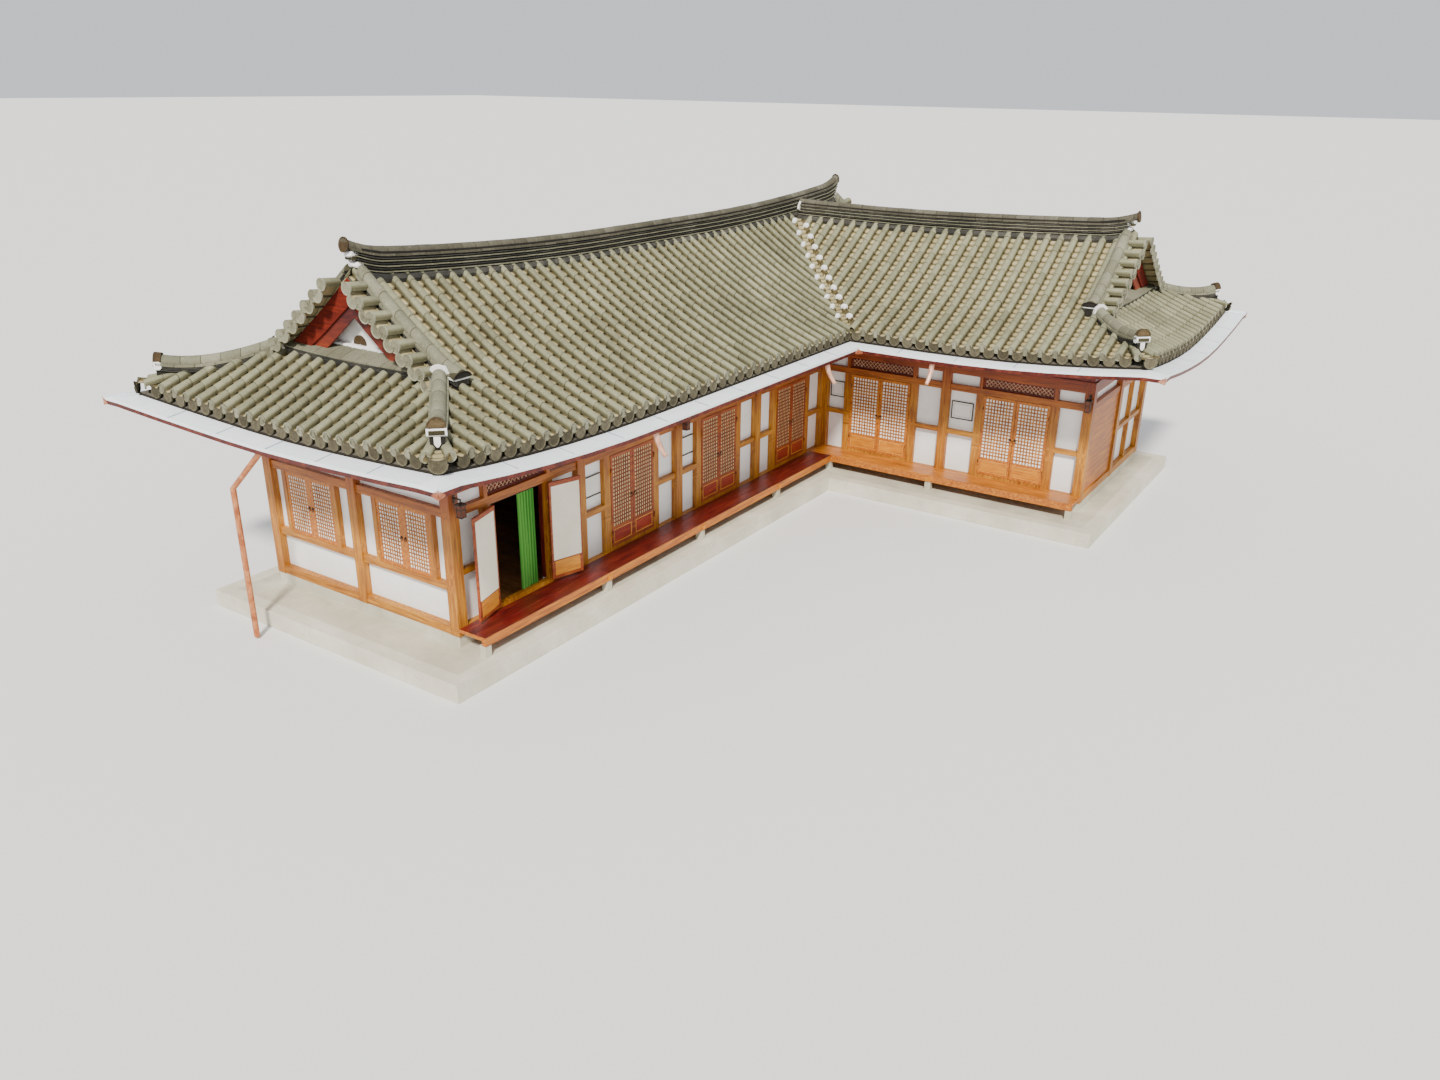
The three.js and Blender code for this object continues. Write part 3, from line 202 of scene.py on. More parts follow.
class Shapes:
    """Gathers many small shapes and makes one piece of them."""

    def __init__(self):
        self.points = []
        self.grain = []
        self.quads = []
        self.triangles = []
        self.count = 0

    def add(self, points, quads=(), triangles=(), grain=None):
        points = np.asarray(points, float).reshape(-1, 3)
        self.points.append(points)
        self.grain.append(points if grain is None else np.asarray(grain, float).reshape(-1, 3))
        for faces, own, size in ((quads, self.quads, 4), (triangles, self.triangles, 3)):
            if len(faces):
                own.append(np.asarray(faces, int).reshape(-1, size) + self.count)
        self.count += len(points)

    def add_grids(self, grids, closed=False, caps=False, grain=None, facing=(0, 0, 1)):
        """Tubes or open sheets through rows of points: grids is copies x rows x columns x 3."""
        grids = np.asarray(grids, float)
        grain = np.broadcast_to(np.asarray(PLAIN_GRAIN if grain is None else grain, float), grids.shape)
        inward = flux(grids) < 0 if closed else leaning(grids) @ np.asarray(facing, float) < 0
        grids = np.where(inward[:, None, None, None], grids[:, :, ::-1], grids)
        grain = np.where(inward[:, None, None, None], grain[:, :, ::-1], grain)
        copies, rows, columns = grids.shape[:3]
        across = np.arange(columns if closed else columns - 1)
        i, j = np.meshgrid(np.arange(rows - 1), across, indexing="ij")
        k = (j + 1) % columns
        one = np.stack([i * columns + j, i * columns + k, (i + 1) * columns + k, (i + 1) * columns + j], -1)
        offsets = np.arange(copies) * rows * columns
        quads = (one.reshape(1, -1, 4) + offsets[:, None, None]).reshape(-1, 4)
        triangles = []
        if caps:
            last = (rows - 1) * columns
            end = np.array(ring_faces(columns))
            both = np.concatenate([end[:, ::-1], end + last])
            triangles = (both[None] + offsets[:, None, None]).reshape(-1, 3)
        self.add(grids, quads, triangles, grain)

    def add_box(self, low, high, place=Matrix(), along=0, bevel=0.0):
        """A board with softened edges; its grain runs along one of its axes."""
        low, high = np.array(low, float), np.array(high, float)
        b = min(bevel, 0.45 * float((high - low).min()))
        first, second = [a for a in range(3) if a != along]
        corners = [(low[first], low[second], 1, 1), (high[first], low[second], -1, 1),
                   (high[first], high[second], -1, -1), (low[first], high[second], 1, -1)]
        ring = []
        for k, (u, v, du, dv) in enumerate(corners):
            steps = [(u, v)] if b == 0 else [(u, v + dv * b), (u + du * b, v)]
            ring.extend(steps if k % 2 == 0 else steps[::-1])
        grid = np.zeros((2, len(ring), 3))
        for row, end in enumerate((low[along], high[along])):
            grid[row, :, along] = end
            grid[row, :, first] = [p[0] for p in ring]
            grid[row, :, second] = [p[1] for p in ring]
        grain = grid[..., [along, first, second]] + random.uniform(-20, 20, 3)
        self.add_grids(moved(grid, place)[None], closed=True, caps=True, grain=grain[None])

    def add_strip(self, stations, place, back=0.0, front=0.012):
        """A plate in a frame's x and z: stations of x, low and high along it."""
        rows = [[(x, back, low), (x, front, low), (x, front, high), (x, back, high)]
                for x, low, high in stations]
        self.add_grids(moved(np.array(rows, float), place)[None], closed=True, caps=True)

    def add_arch(self, place, outer, inner, drop, depth, low=0.0, rough=0.0):
        """A half ring in a frame's x and z; a drop of its inner circle makes it a crescent."""
        angles = np.radians(np.linspace(low, 180 - low, 13))
        rows = []
        for a in angles:
            wide = outer + random.uniform(-rough, rough)
            c, s = math.cos(a), math.sin(a)
            far, near = (wide * c, wide * s), (inner * c, inner * s - drop)
            rows.append([(*pair, y) for pair, y in ((far, 0), (far, depth), (near, depth), (near, 0))])
        grid = np.array(rows)[..., [0, 2, 1]]
        self.add_grids(moved(grid, place)[None], closed=True, caps=True)

    def add_lump(self, place, size, rough=0.12):
        """A hand-shaped lump, rounded and a little uneven."""
        polar, around = np.meshgrid(np.linspace(0.02, math.pi - 0.02, 8),
                                    np.linspace(0, 2 * math.pi, 12, endpoint=False), indexing="ij")
        swell = 1 + random.uniform(-rough, rough, polar.shape)
        ball = np.stack([np.sin(polar) * np.cos(around), np.sin(polar) * np.sin(around), np.cos(polar)], -1)
        boxy = np.sign(ball) * np.abs(ball) ** 0.75
        self.add_grids(moved(boxy * swell[..., None] * size, place)[None], closed=True, caps=True)

    def build(self, name, body, slot, material, smooth=True, replaces=()):
        points = np.concatenate(self.points)
        faces = []
        for own, size in ((self.quads, 4), (self.triangles, 3)):
            if own:
                group = np.concatenate(own)
                a, b = points[group[:, 2]] - points[group[:, 0]], points[group[:, -1]] - points[group[:, 1]]
                if size == 3:
                    b = points[group[:, 1]] - points[group[:, 0]]
                area = np.linalg.norm(np.cross(a, b), axis=1)
                faces.extend(group[area > 1e-7].tolist())
        used = np.unique(np.concatenate([np.asarray(face) for face in faces]))
        places = np.full(len(points), -1)
        places[used] = np.arange(len(used))
        faces = [[int(places[i]) for i in face] for face in faces]
        mesh = bpy.data.meshes.new(name)
        mesh.from_pydata(points[used].tolist(), [], faces)
        grain = mesh.attributes.new("grain", "FLOAT_VECTOR", "POINT")
        grain.data.foreach_set("vector", np.concatenate(self.grain)[used].astype(np.float32).ravel())
        mesh.materials.append(material)
        if smooth:
            mesh.shade_smooth()
            mesh.set_sharp_from_angle(angle=math.radians(38))
        piece = bpy.data.objects.new(name, mesh)
        bpy.context.scene.collection.objects.link(piece)
        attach(piece, body)
        if replaces:
            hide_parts(*replaces)
        return piece


# Materials.

class Look:
    """A procedural material, built node by node."""

    def __init__(self, name, roughness=0.8, metallic=0.0, specular=0.5):
        self.material = bpy.data.materials.new(name)
        self.material.use_nodes = True
        self.tree = self.material.node_tree
        self.shader = self.tree.nodes["Principled BSDF"]
        self.shader.inputs["Roughness"].default_value = roughness
        self.shader.inputs["Metallic"].default_value = metallic
        self.shader.inputs["Specular IOR Level"].default_value = specular
        self.relief = None

    def node(self, kind, inputs=None, **settings):
        node = self.tree.nodes.new(kind)
        for key, value in settings.items():
            setattr(node, key, value)
        for key, value in (inputs or {}).items():
            if isinstance(value, bpy.types.NodeSocket):
                self.tree.links.new(value, node.inputs[key])
            else:
                node.inputs[key].default_value = value
        return node

    def place(self):
        return self.node("ShaderNodeTexCoord").outputs["Object"]

    def grain(self):
        return self.node("ShaderNodeAttribute", attribute_name="grain").outputs["Vector"]

    def scaled(self, vector, scale):
        return self.node("ShaderNodeMapping", {"Vector": vector, "Scale": scale}).outputs["Vector"]

    def noise(self, vector, scale, detail=4.0, rough=0.55, distortion=0.0):
        node = self.node("ShaderNodeTexNoise", {
            "Vector": vector, "Scale": scale, "Detail": detail, "Roughness": rough,
            "Distortion": distortion})
        return node.outputs["Fac"]

    def island(self):
        return self.node("ShaderNodeNewGeometry").outputs["Random Per Island"]

    def math(self, operation, a, b=0.0, c=0.0, clamp=False):
        node = self.node("ShaderNodeMath", {0: a, 1: b, 2: c}, operation=operation)
        node.use_clamp = clamp
        return node.outputs[0]

    def ramp(self, factor, stops):
        node = self.node("ShaderNodeValToRGB", {"Fac": factor})
        elements = node.color_ramp.elements
        while len(elements) < len(stops):
            elements.new(0.5)
        for element, (position, color) in zip(elements, stops):
            element.position = position
            element.color = (*color, 1)
        return node.outputs["Color"]

    def mix(self, factor, a, b, blend="MIX"):
        node = self.node("ShaderNodeMix", data_type="RGBA", blend_type=blend)
        for key, value in ((0, factor), (6, a), (7, b)):
            if isinstance(value, bpy.types.NodeSocket):
                self.tree.links.new(value, node.inputs[key])
            elif key == 0:
                node.inputs[key].default_value = value
            else:
                node.inputs[key].default_value = (*value, 1)
        return node.outputs[2]

    def color(self, socket):
        self.tree.links.new(socket, self.shader.inputs["Base Color"])

    def roughness(self, factor, low, high):
        node = self.node("ShaderNodeMapRange", {"Value": factor, "To Min": low, "To Max": high})
        self.tree.links.new(node.outputs["Result"], self.shader.inputs["Roughness"])

    def bump(self, height, distance, strength=1.0):
        settings = {"Height": height, "Distance": distance, "Strength": strength}
        if self.relief:
            settings["Normal"] = self.relief
        self.relief = self.node("ShaderNodeBump", settings).outputs["Normal"]
        self.tree.links.new(self.relief, self.shader.inputs["Normal"])


# Ramps over a tile's grain. Barrels darken at their joints. Channels darken in a strip below the course
# above, partly dirt in the joint and partly painted shade under its lip. The side ramps are painted shade
# where barrels and channels meet.
BARREL_JOINTS = [(0.0, (0.75, 0.73, 0.68)), (0.03, (1, 1, 1)), (0.94, (1, 1, 1)), (1.0, (0.55, 0.52, 0.44))]
BARREL_SIDE_SHADE = [(0.62, (1, 1, 1)), (0.8, (0.4, 0.37, 0.3))]
CHANNEL_JOINTS_AND_LIP_SHADE = [(0.0, (0.95, 0.93, 0.88)), (0.3, (1.05, 1.03, 0.98)), (0.7, (0.85, 0.82, 0.74)),
                  (0.9, (0.2, 0.17, 0.12))]
CHANNEL_SIDE_SHADE = [(0.34, (1, 1, 1)), (0.52, (0.3, 0.27, 0.2))]


def tile_look(name, shades, spots=0.5, island=0.22, joints=BARREL_JOINTS, sides=BARREL_SIDE_SHADE):
    """Fired clay: mottled, with lichen specks and a gritty face, darker in its joints, with painted shade
    down its sides and, on channels, under the lip above.
    """
    look = Look(name, 0.85, specular=0.25)
    place = look.place()
    broad = look.noise(place, 0.9, 5.0, 0.65)
    mottle = look.noise(place, 24.0, 6.0, 0.7)
    tone = look.math("MULTIPLY_ADD", look.island(), island, look.math("MULTIPLY", broad, 1 - island))
    base = look.ramp(tone, [(0.22, shades[0]), (0.5, shades[1]), (0.78, shades[2])])
    stains = look.ramp(mottle, [(0.3, (0.7, 0.7, 0.68)), (0.7, (1.16, 1.15, 1.12))])
    color = look.mix(0.85, base, stains, "MULTIPLY")
    lichen = look.ramp(look.noise(place, 9.0, 8.0, 0.75), [(0.58, (0, 0, 0)), (0.72, (1, 1, 1))])
    color = look.mix(look.math("MULTIPLY", lichen, spots), color, (0.5, 0.47, 0.33))
    if joints:
        # Painted shade: the side ramp darkens a tile towards its edges, and the channels' joint ramp darkens
        # them below the lip above.
        parts = look.node("ShaderNodeSeparateXYZ", {"Vector": look.grain()}).outputs
        seam = look.ramp(parts["Y"], joints)
        side = look.ramp(look.math("ABSOLUTE", parts["X"]), sides)
        color = look.mix(1.0, look.mix(1.0, color, seam, "MULTIPLY"), side, "MULTIPLY")
    look.color(color)
    look.roughness(mottle, 0.72, 0.95)
    look.bump(look.noise(place, 140.0, 4.0, 0.7), 0.004)
    look.bump(mottle, 0.006)
    return look.material


def end_look(name, shades):
    """The face of an end tile: pressed rings, a painted highlight on its rim, and darker just inside it."""
    look = Look(name, 0.85, specular=0.25)
    place = look.place()
    mottle = look.noise(place, 18.0, 7.0, 0.72)
    base = look.ramp(look.math("MULTIPLY_ADD", look.island(), 0.3, look.math("MULTIPLY", mottle, 0.7)),
                     [(0.25, shades[0]), (0.5, shades[1]), (0.75, shades[2])])
    radius = look.node("ShaderNodeSeparateXYZ", {"Vector": look.grain()}).outputs["X"]
    # Painted highlight: the rim is lighter; the face is darker just inside it.
    rim = look.ramp(radius, [(0.0, (0.95, 0.93, 0.9)), (0.8, (0.86, 0.84, 0.8)), (0.88, (1.12, 1.12, 1.1)),
                             (1.0, (0.9, 0.9, 0.88))])
    look.color(look.mix(0.9, base, rim, "MULTIPLY"))
    look.bump(look.math("SINE", look.math("MULTIPLY", radius, 40.0)), 0.003, 0.5)
    look.bump(mottle, 0.008)
    return look.material


def mortar_look():
    """Lime mortar, white, with a little grime in its hollows."""
    look = Look("lime_mortar", 0.9, specular=0.3)
    place = look.place()
    mottle = look.noise(place, 14.0, 6.0, 0.65)
    look.color(look.ramp(mottle, [(0.25, (0.6, 0.59, 0.55)), (0.42, (0.86, 0.86, 0.84)),
                                  (0.8, (0.94, 0.94, 0.93))]))
    look.bump(look.noise(place, 45.0, 6.0, 0.7), 0.012)
    return look.material


def timber_color(look, vector, dark, middle, light, fine=1.0):
    """Varnished wood: long streaks along the grain, darker rings and small pores."""
    streaks = look.noise(look.scaled(vector, (1.1 * fine, 17.0 * fine, 17.0 * fine)), 2.2, 7.0, 0.6, 0.6)
    pores = look.noise(look.scaled(vector, (6.0, 160.0, 160.0)), 1.5, 3.0, 0.6)
    color = look.ramp(streaks, [(0.28, dark), (0.5, middle), (0.74, light)])
    shade = look.ramp(pores, [(0.35, (0.74, 0.7, 0.66)), (0.6, (1.05, 1.05, 1.05))])
    look.bump(streaks, 0.0025)
    look.bump(pores, 0.0008)
    return look.mix(0.8, color, shade, "MULTIPLY"), streaks


def grained_look(name, dark, middle, light, roughness=(0.38, 0.6), fine=1.0):
    look = Look(name, 0.5)
    color, streaks = timber_color(look, look.grain(), dark, middle, light, fine)
    tone = look.ramp(look.island(), [(0.0, (0.8, 0.78, 0.76)), (1.0, (1.12, 1.1, 1.08))])
    cloud = look.noise(look.place(), 1.7, 4.0)
    broad = look.ramp(cloud, [(0.35, (0.86, 0.82, 0.8)), (0.65, (1.06, 1.06, 1.06))])
    look.color(look.mix(1.0, look.mix(1.0, color, tone, "MULTIPLY"), broad, "MULTIPLY"))
    look.roughness(streaks, *roughness)
    return look.material


def between(look, value, low, high):
    """One where a value lies between two others, and zero elsewhere."""
    return look.math("MULTIPLY", look.math("GREATER_THAN", value, low), look.math("LESS_THAN", value, high))


# Above this height the frame's wood is painted darker and redder, as painted shade under the eave.
EAVE_SHADE_START = 2.1
# Heights between which the frame's wood lies level, in its sills, rails and beams.
RAIL_BANDS = [(PLINTH_TOP - 0.1, FLOOR), (CHAIR_RAIL_TOP - 0.1, CHAIR_RAIL_TOP),
              (WINDOW_SILL_TOP - 0.12, WINDOW_SILL_TOP), (DOOR_HEAD, HEAD_RAIL_TOP), (BAND_TOP, WALL_TOP)]
FRAME_SHADES = [(0.2, 0.055, 0.006), (0.45, 0.185, 0.014), (0.66, 0.32, 0.035)]
STRUCTURE_GRAIN = 0.6


def facade_timber_look(facade):
    """The frame of one facade: upright grain in posts, level grain in rails and beams."""
    look = Look(f"{facade}_frame_wood", 0.5)
    at, turn = FACADES[facade]["at"], math.radians(FACADES[facade]["turn"])
    shift = Matrix.Rotation(-turn, 3, "Z") @ Vector((-at[0], -at[1], 0))
    local = look.node("ShaderNodeMapping", {
        "Vector": look.place(), "Rotation": (0, 0, -turn), "Location": shift}).outputs["Vector"]
    parts = look.node("ShaderNodeSeparateXYZ", {"Vector": local}).outputs
    level = 0.0
    for low, high in RAIL_BANDS:
        level = look.math("MAXIMUM", between(look, parts["Z"], low, high), level)
    level = look.math("MULTIPLY", level, look.math("GREATER_THAN", parts["Y"], 0.005))
    upright = look.node("ShaderNodeCombineXYZ", {0: parts["Z"], 1: parts["X"], 2: parts["Y"]}).outputs[0]
    flat = look.node("ShaderNodeCombineXYZ", {0: parts["X"], 1: parts["Z"], 2: parts["Y"]}).outputs[0]
    vector = look.mix(level, upright, flat)
    color, streaks = timber_color(look, vector, *FRAME_SHADES, STRUCTURE_GRAIN)
    cloud = look.noise(look.place(), 0.9, 5.0)
    broad = look.ramp(cloud, [(0.36, (0.8, 0.66, 0.5)), (0.64, (1.08, 1.08, 1.08))])
    color = look.mix(1.0, color, broad, "MULTIPLY")
    # Painted shade: darker and redder from this height up to the wall's top, for the eave's shadow.
    height = look.node("ShaderNodeMapRange", {
        "Value": parts["Z"], "From Min": EAVE_SHADE_START, "From Max": WALL_TOP}).outputs["Result"]
    eave_shade = look.ramp(height, [(0.0, (1, 1, 1)), (0.6, (0.72, 0.45, 0.4)), (1.0, (0.4, 0.12, 0.16))])
    look.color(look.mix(1.0, color, eave_shade, "MULTIPLY"))
    look.roughness(streaks, 0.38, 0.62)
    return look.material


# Rain splashes the plaster's foot up to this height above the plinth.
SPLASH_HEIGHT = 0.7
SPLASH_GRIME = 0.35


def plaster_look():
    look = Look("white_plaster", 0.92, specular=0.25)
    place = look.place()
    cloud = look.noise(place, 1.6, 5.0, 0.6)
    base = look.ramp(cloud, [(0.3, (0.84, 0.835, 0.81)), (0.7, (0.93, 0.93, 0.92))])
    height = look.node("ShaderNodeSeparateXYZ", {"Vector": place}).outputs["Z"]
    foot = look.node("ShaderNodeMapRange", {
        "Value": height, "From Min": PLINTH_TOP, "From Max": PLINTH_TOP + SPLASH_HEIGHT,
        "To Min": SPLASH_GRIME, "To Max": 0.0})
    dirt = look.math("MULTIPLY", foot.outputs["Result"], look.noise(place, 5.0, 7.0, 0.7))
    look.color(look.mix(dirt, base, (0.36, 0.31, 0.23)))
    look.bump(look.noise(place, 34.0, 6.0, 0.65), 0.003)
    look.bump(look.noise(look.scaled(place, (1.0, 1.0, 0.3)), 6.0, 3.0), 0.004)
    return look.material


def roof_bed_look():
    """White plaster between the rafters below, red-brown boards at the sides up by the gables, near black
    painted shade on the sides lower down, earth above.
    """
    look = Look("roof_bed", 0.9, specular=0.2)
    place = look.place()
    facing = look.node("ShaderNodeSeparateXYZ", {
        "Vector": look.node("ShaderNodeNewGeometry").outputs["Normal"]}).outputs["Z"]
    mottle = look.noise(place, 9.0, 6.0, 0.7)
    streaks = look.noise(look.scaled(place, (1.0, 1.0, 14.0)), 2.0, 6.0, 0.6)
    earth = look.ramp(mottle, [(0.3, (0.05, 0.045, 0.035)), (0.7, (0.16, 0.145, 0.115))])
    plaster = look.ramp(mottle, [(0.3, (0.7, 0.69, 0.66)), (0.7, (0.84, 0.835, 0.81))])
    board = look.ramp(streaks, [(0.3, (0.07, 0.006, 0.004)), (0.7, (0.2, 0.02, 0.008))])
    height = look.node("ShaderNodeSeparateXYZ", {"Vector": place}).outputs["Z"]
    high = look.math("GREATER_THAN", height, GABLE_LOW)
    # Painted shade: below the gables' height the bed's sides are near black.
    side = look.mix(high, (0.022, 0.017, 0.012), board)
    below = look.mix(high, plaster, board)
    shown = look.mix(look.math("GREATER_THAN", facing, 0.3), side, earth)
    look.color(look.mix(look.math("LESS_THAN", facing, -0.3), shown, below))
    look.bump(mottle, 0.01)
    return look.material


# The verge's boards are painted near black at the top, as painted shade under the verge tiles, and orange at
# their foot, as painted sunlight.
GABLE_SHADE_FADE = 2.6


def gable_look(name, axis, verge, inward):
    """A gable: white plaster on its wall, dark red boards under the verge with painted shade and painted
    sunlight.
    """
    look = Look(f"{name}_paint", 0.7)
    place = look.place()
    coordinate = look.node("ShaderNodeSeparateXYZ", {"Vector": place}).outputs[axis]
    inside = look.math("MULTIPLY", look.math("SUBTRACT", coordinate, verge), inward)
    wall = between(look, inside, GABLE_INSET - 0.005, GABLE_INSET + 0.03)
    cloud = look.noise(place, 3.0, 6.0, 0.6)
    plaster = look.ramp(cloud, [(0.3, (0.7, 0.69, 0.65)), (0.6, (0.86, 0.855, 0.84))])
    streaks = look.noise(look.scaled(place, (3.0, 3.0, 14.0)), 1.2, 6.0, 0.6, 0.5)
    height = look.node("ShaderNodeSeparateXYZ", {"Vector": place}).outputs["Z"]
    # Painted shade and light: the boards run from near black high up to orange low down.
    tone = look.math("MULTIPLY_ADD", streaks, 0.5, look.math("MULTIPLY_ADD", height, -0.45, GABLE_SHADE_FADE))
    board = look.ramp(tone, [(0.0, (0.014, 0.0008, 0.002)), (0.45, (0.05, 0.0022, 0.003)),
                             (0.75, (0.2, 0.022, 0.003)), (1.0, (0.62, 0.16, 0.008))])
    look.color(look.mix(wall, board, plaster))
    look.bump(cloud, 0.004)
    look.bump(streaks, 0.002)
    return look.material


def stone_look(name, shades):
    """Pale dressed granite: fine speckle, clouded and a little worn."""
    look = Look(name, 0.85, specular=0.35)
    place = look.place()
    grit = look.noise(place, 150.0, 3.0, 0.8)
    cloud = look.noise(place, 1.1, 6.0, 0.6)
    base = look.ramp(cloud, list(zip((0.3, 0.55, 0.75), shades)))
    speck = look.ramp(grit, [(0.34, (0.66, 0.65, 0.64)), (0.5, (1.0, 1.0, 1.0)), (0.68, (1.16, 1.15, 1.13))])
    color = look.mix(0.9, base, speck, "MULTIPLY")
    worn = look.ramp(look.noise(place, 4.0, 8.0, 0.7), [(0.55, (0, 0, 0)), (0.75, (1, 1, 1))])
    look.color(look.mix(look.math("MULTIPLY", worn, 0.35), color, (0.3, 0.27, 0.2)))
    look.roughness(cloud, 0.75, 0.95)
    look.bump(look.noise(place, 60.0, 6.0, 0.7), 0.003)
    look.bump(look.noise(place, 7.0, 4.0), 0.006)
    return look.material


def sheet_look():
    """Coated sheet metal, pale and slightly streaked by the rain."""
    look = Look("pale_sheet", 0.42)
    place = look.place()
    cloud = look.noise(place, 2.4, 5.0, 0.6)
    base = look.ramp(cloud, [(0.3, (0.84, 0.91, 0.97)), (0.7, (0.92, 0.96, 0.99))])
    streak = look.ramp(look.noise(place, 18.0, 6.0, 0.7), [(0.35, (0.88, 0.88, 0.87)), (0.6, (1, 1, 1))])
    look.color(look.mix(0.6, base, streak, "MULTIPLY"))
    look.roughness(cloud, 0.32, 0.5)
    look.bump(look.noise(place, 3.0, 2.0), 0.012, 0.6)
    look.bump(look.noise(place, 60.0, 3.0), 0.001)
    return look.material


def copper_look(name, shades):
    look = Look(name, 0.45, metallic=0.3)
    place = look.place()
    cloud = look.noise(place, 7.0, 6.0, 0.65)
    look.color(look.ramp(cloud, list(zip((0.28, 0.5, 0.75), shades))))
    look.roughness(cloud, 0.35, 0.6)
    look.bump(look.noise(place, 30.0, 4.0), 0.003)
    return look.material


def iron_look():
    look = Look("black_iron", 0.5, metallic=0.8)
    cloud = look.noise(look.place(), 40.0, 5.0, 0.7)
    look.color(look.ramp(cloud, [(0.3, (0.012, 0.01, 0.009)), (0.7, (0.07, 0.05, 0.04))]))
    look.roughness(cloud, 0.4, 0.7)
    look.bump(cloud, 0.002)
    return look.material


def paper_look(name, low, high):
    look = Look(name, 0.9, specular=0.2)
    place = look.place()
    fibres = look.noise(look.scaled(place, (1.0, 1.0, 0.35)), 60.0, 6.0, 0.75)
    cloud = look.noise(place, 3.0, 4.0)
    color = look.ramp(look.math("MULTIPLY_ADD", fibres, 0.5, look.math("MULTIPLY", cloud, 0.5)),
                      [(0.3, low), (0.7, high)])
    look.color(color)
    look.bump(fibres, 0.001)
    return look.material


TILE = tile_look("grey_tile", [(0.15, 0.148, 0.092), (0.235, 0.235, 0.152), (0.33, 0.325, 0.22)], 0.45)
CHANNEL = tile_look("channel_tile", [(0.28, 0.24, 0.13), (0.42, 0.37, 0.22), (0.54, 0.49, 0.31)], 0.4,
                    joints=CHANNEL_JOINTS_AND_LIP_SHADE, sides=CHANNEL_SIDE_SHADE)
END_TILE = end_look("end_tile", [(0.13, 0.125, 0.08), (0.24, 0.235, 0.165), (0.36, 0.355, 0.27)])
# Painted shade: the eave plates are a much darker copy of the end tiles, for the shade they hang in below
# the discs.
SHADED_PLATE_TILE = end_look("shaded_plate_tile", [(0.045, 0.038, 0.022), (0.09, 0.078, 0.048), (0.17, 0.15, 0.1)])
DARK_END = end_look("dark_end_tile", [(0.03, 0.018, 0.008), (0.07, 0.045, 0.02), (0.15, 0.11, 0.055)])
DARK_TILE = tile_look("ridge_tile", [(0.02, 0.02, 0.019), (0.05, 0.048, 0.042), (0.12, 0.115, 0.095)], 0.2,
                      joints=None)
CAP_TILE = tile_look("cap_tile", [(0.12, 0.118, 0.078), (0.19, 0.186, 0.13), (0.29, 0.283, 0.21)], 0.4)
TOP_TILE = tile_look("top_ridge_tile", [(0.055, 0.05, 0.034), (0.1, 0.092, 0.066), (0.18, 0.17, 0.13)], 0.3)
# Near black: the earthen core of the ridges, and painted shade on the faces of the branch ridges' end tiles.
RIDGE_EARTH_AND_SHADE = tile_look("ridge_earth_and_painted_shade", [(0.012, 0.011, 0.01), (0.02, 0.018, 0.015), (0.04, 0.034, 0.025)], 0.05,
                  joints=None)
MORTAR = mortar_look()
WOOD = grained_look("door_wood", (0.16, 0.035, 0.004), (0.4, 0.14, 0.01), (0.62, 0.28, 0.03))
EDGE_WOOD = grained_look("moulding_wood", (0.6, 0.22, 0.02), (0.82, 0.38, 0.05), (0.92, 0.52, 0.1))
# Painted shade: darker, redder copies of the door wood and the kick board wood, for the yard doors.
SHADED_YARD_WOOD = grained_look("shaded_yard_door_wood", (0.08, 0.008, 0.004), (0.22, 0.035, 0.008), (0.36, 0.09, 0.014))
KICK_WOOD = grained_look("kick_board_wood", (0.4, 0.11, 0.006), (0.62, 0.24, 0.012), (0.78, 0.36, 0.03))
SHADED_YARD_KICK = grained_look("shaded_yard_kick_board_wood", (0.13, 0.006, 0.004), (0.32, 0.022, 0.006),
                         (0.55, 0.09, 0.01))
RAFTER_WOOD = grained_look("rafter_wood", (0.1, 0.012, 0.005), (0.24, 0.045, 0.01), (0.4, 0.12, 0.02),
                           fine=STRUCTURE_GRAIN)
# Dark red wood; on the transom boards its darkness is partly painted shade under the eave.
RED_WOOD = grained_look("red_wood", (0.05, 0.003, 0.004), (0.13, 0.009, 0.006), (0.24, 0.03, 0.008))
PALE_WOOD = grained_look("transom_wood", (0.4, 0.2, 0.1), (0.62, 0.38, 0.22), (0.75, 0.52, 0.34))
DECK_WOOD = grained_look("deck_wood", (0.22, 0.045, 0.006), (0.5, 0.17, 0.014), (0.72, 0.32, 0.04),
                         (0.28, 0.5), 0.7)
# Painted shade: a darker, redder copy of the deck wood, for the yard's deck.
SHADED_DECK = grained_look("shaded_yard_deck_wood", (0.04, 0.002, 0.004), (0.12, 0.008, 0.007), (0.26, 0.035, 0.01),
                         (0.25, 0.45), 0.7)
FLOOR_WOOD = grained_look("floor_wood", (0.2, 0.08, 0.02), (0.36, 0.17, 0.05), (0.5, 0.27, 0.1),
                          (0.3, 0.5), 0.7)
PAPER = paper_look("door_paper", (0.84, 0.8, 0.7), (0.96, 0.94, 0.88))
# Painted shade: a darker tan copy of the door paper, for the yard doors.
SHADED_TAN_PAPER = paper_look("shaded_yard_door_paper", (0.62, 0.46, 0.2), (0.84, 0.7, 0.38))
INNER_PAPER = paper_look("inner_paper", (0.8, 0.74, 0.58), (0.94, 0.9, 0.76))
LAMP_PAPER = paper_look("lamp_paper", (0.08, 0.02, 0.012), (0.26, 0.11, 0.07))
HUNG_PAPER = paper_look("hung_paper", (0.78, 0.77, 0.72), (0.9, 0.89, 0.86))
DARK_WOOD = grained_look("dark_wood", (0.012, 0.008, 0.006), (0.035, 0.022, 0.015), (0.08, 0.05, 0.03))
IRON = iron_look()
COPPER = copper_look("aged_copper", [(0.4, 0.17, 0.1), (0.66, 0.36, 0.25), (0.82, 0.55, 0.42)])
PIPE_COPPER = copper_look("pipe_copper", [(0.26, 0.06, 0.02), (0.5, 0.17, 0.06), (0.7, 0.34, 0.15)])
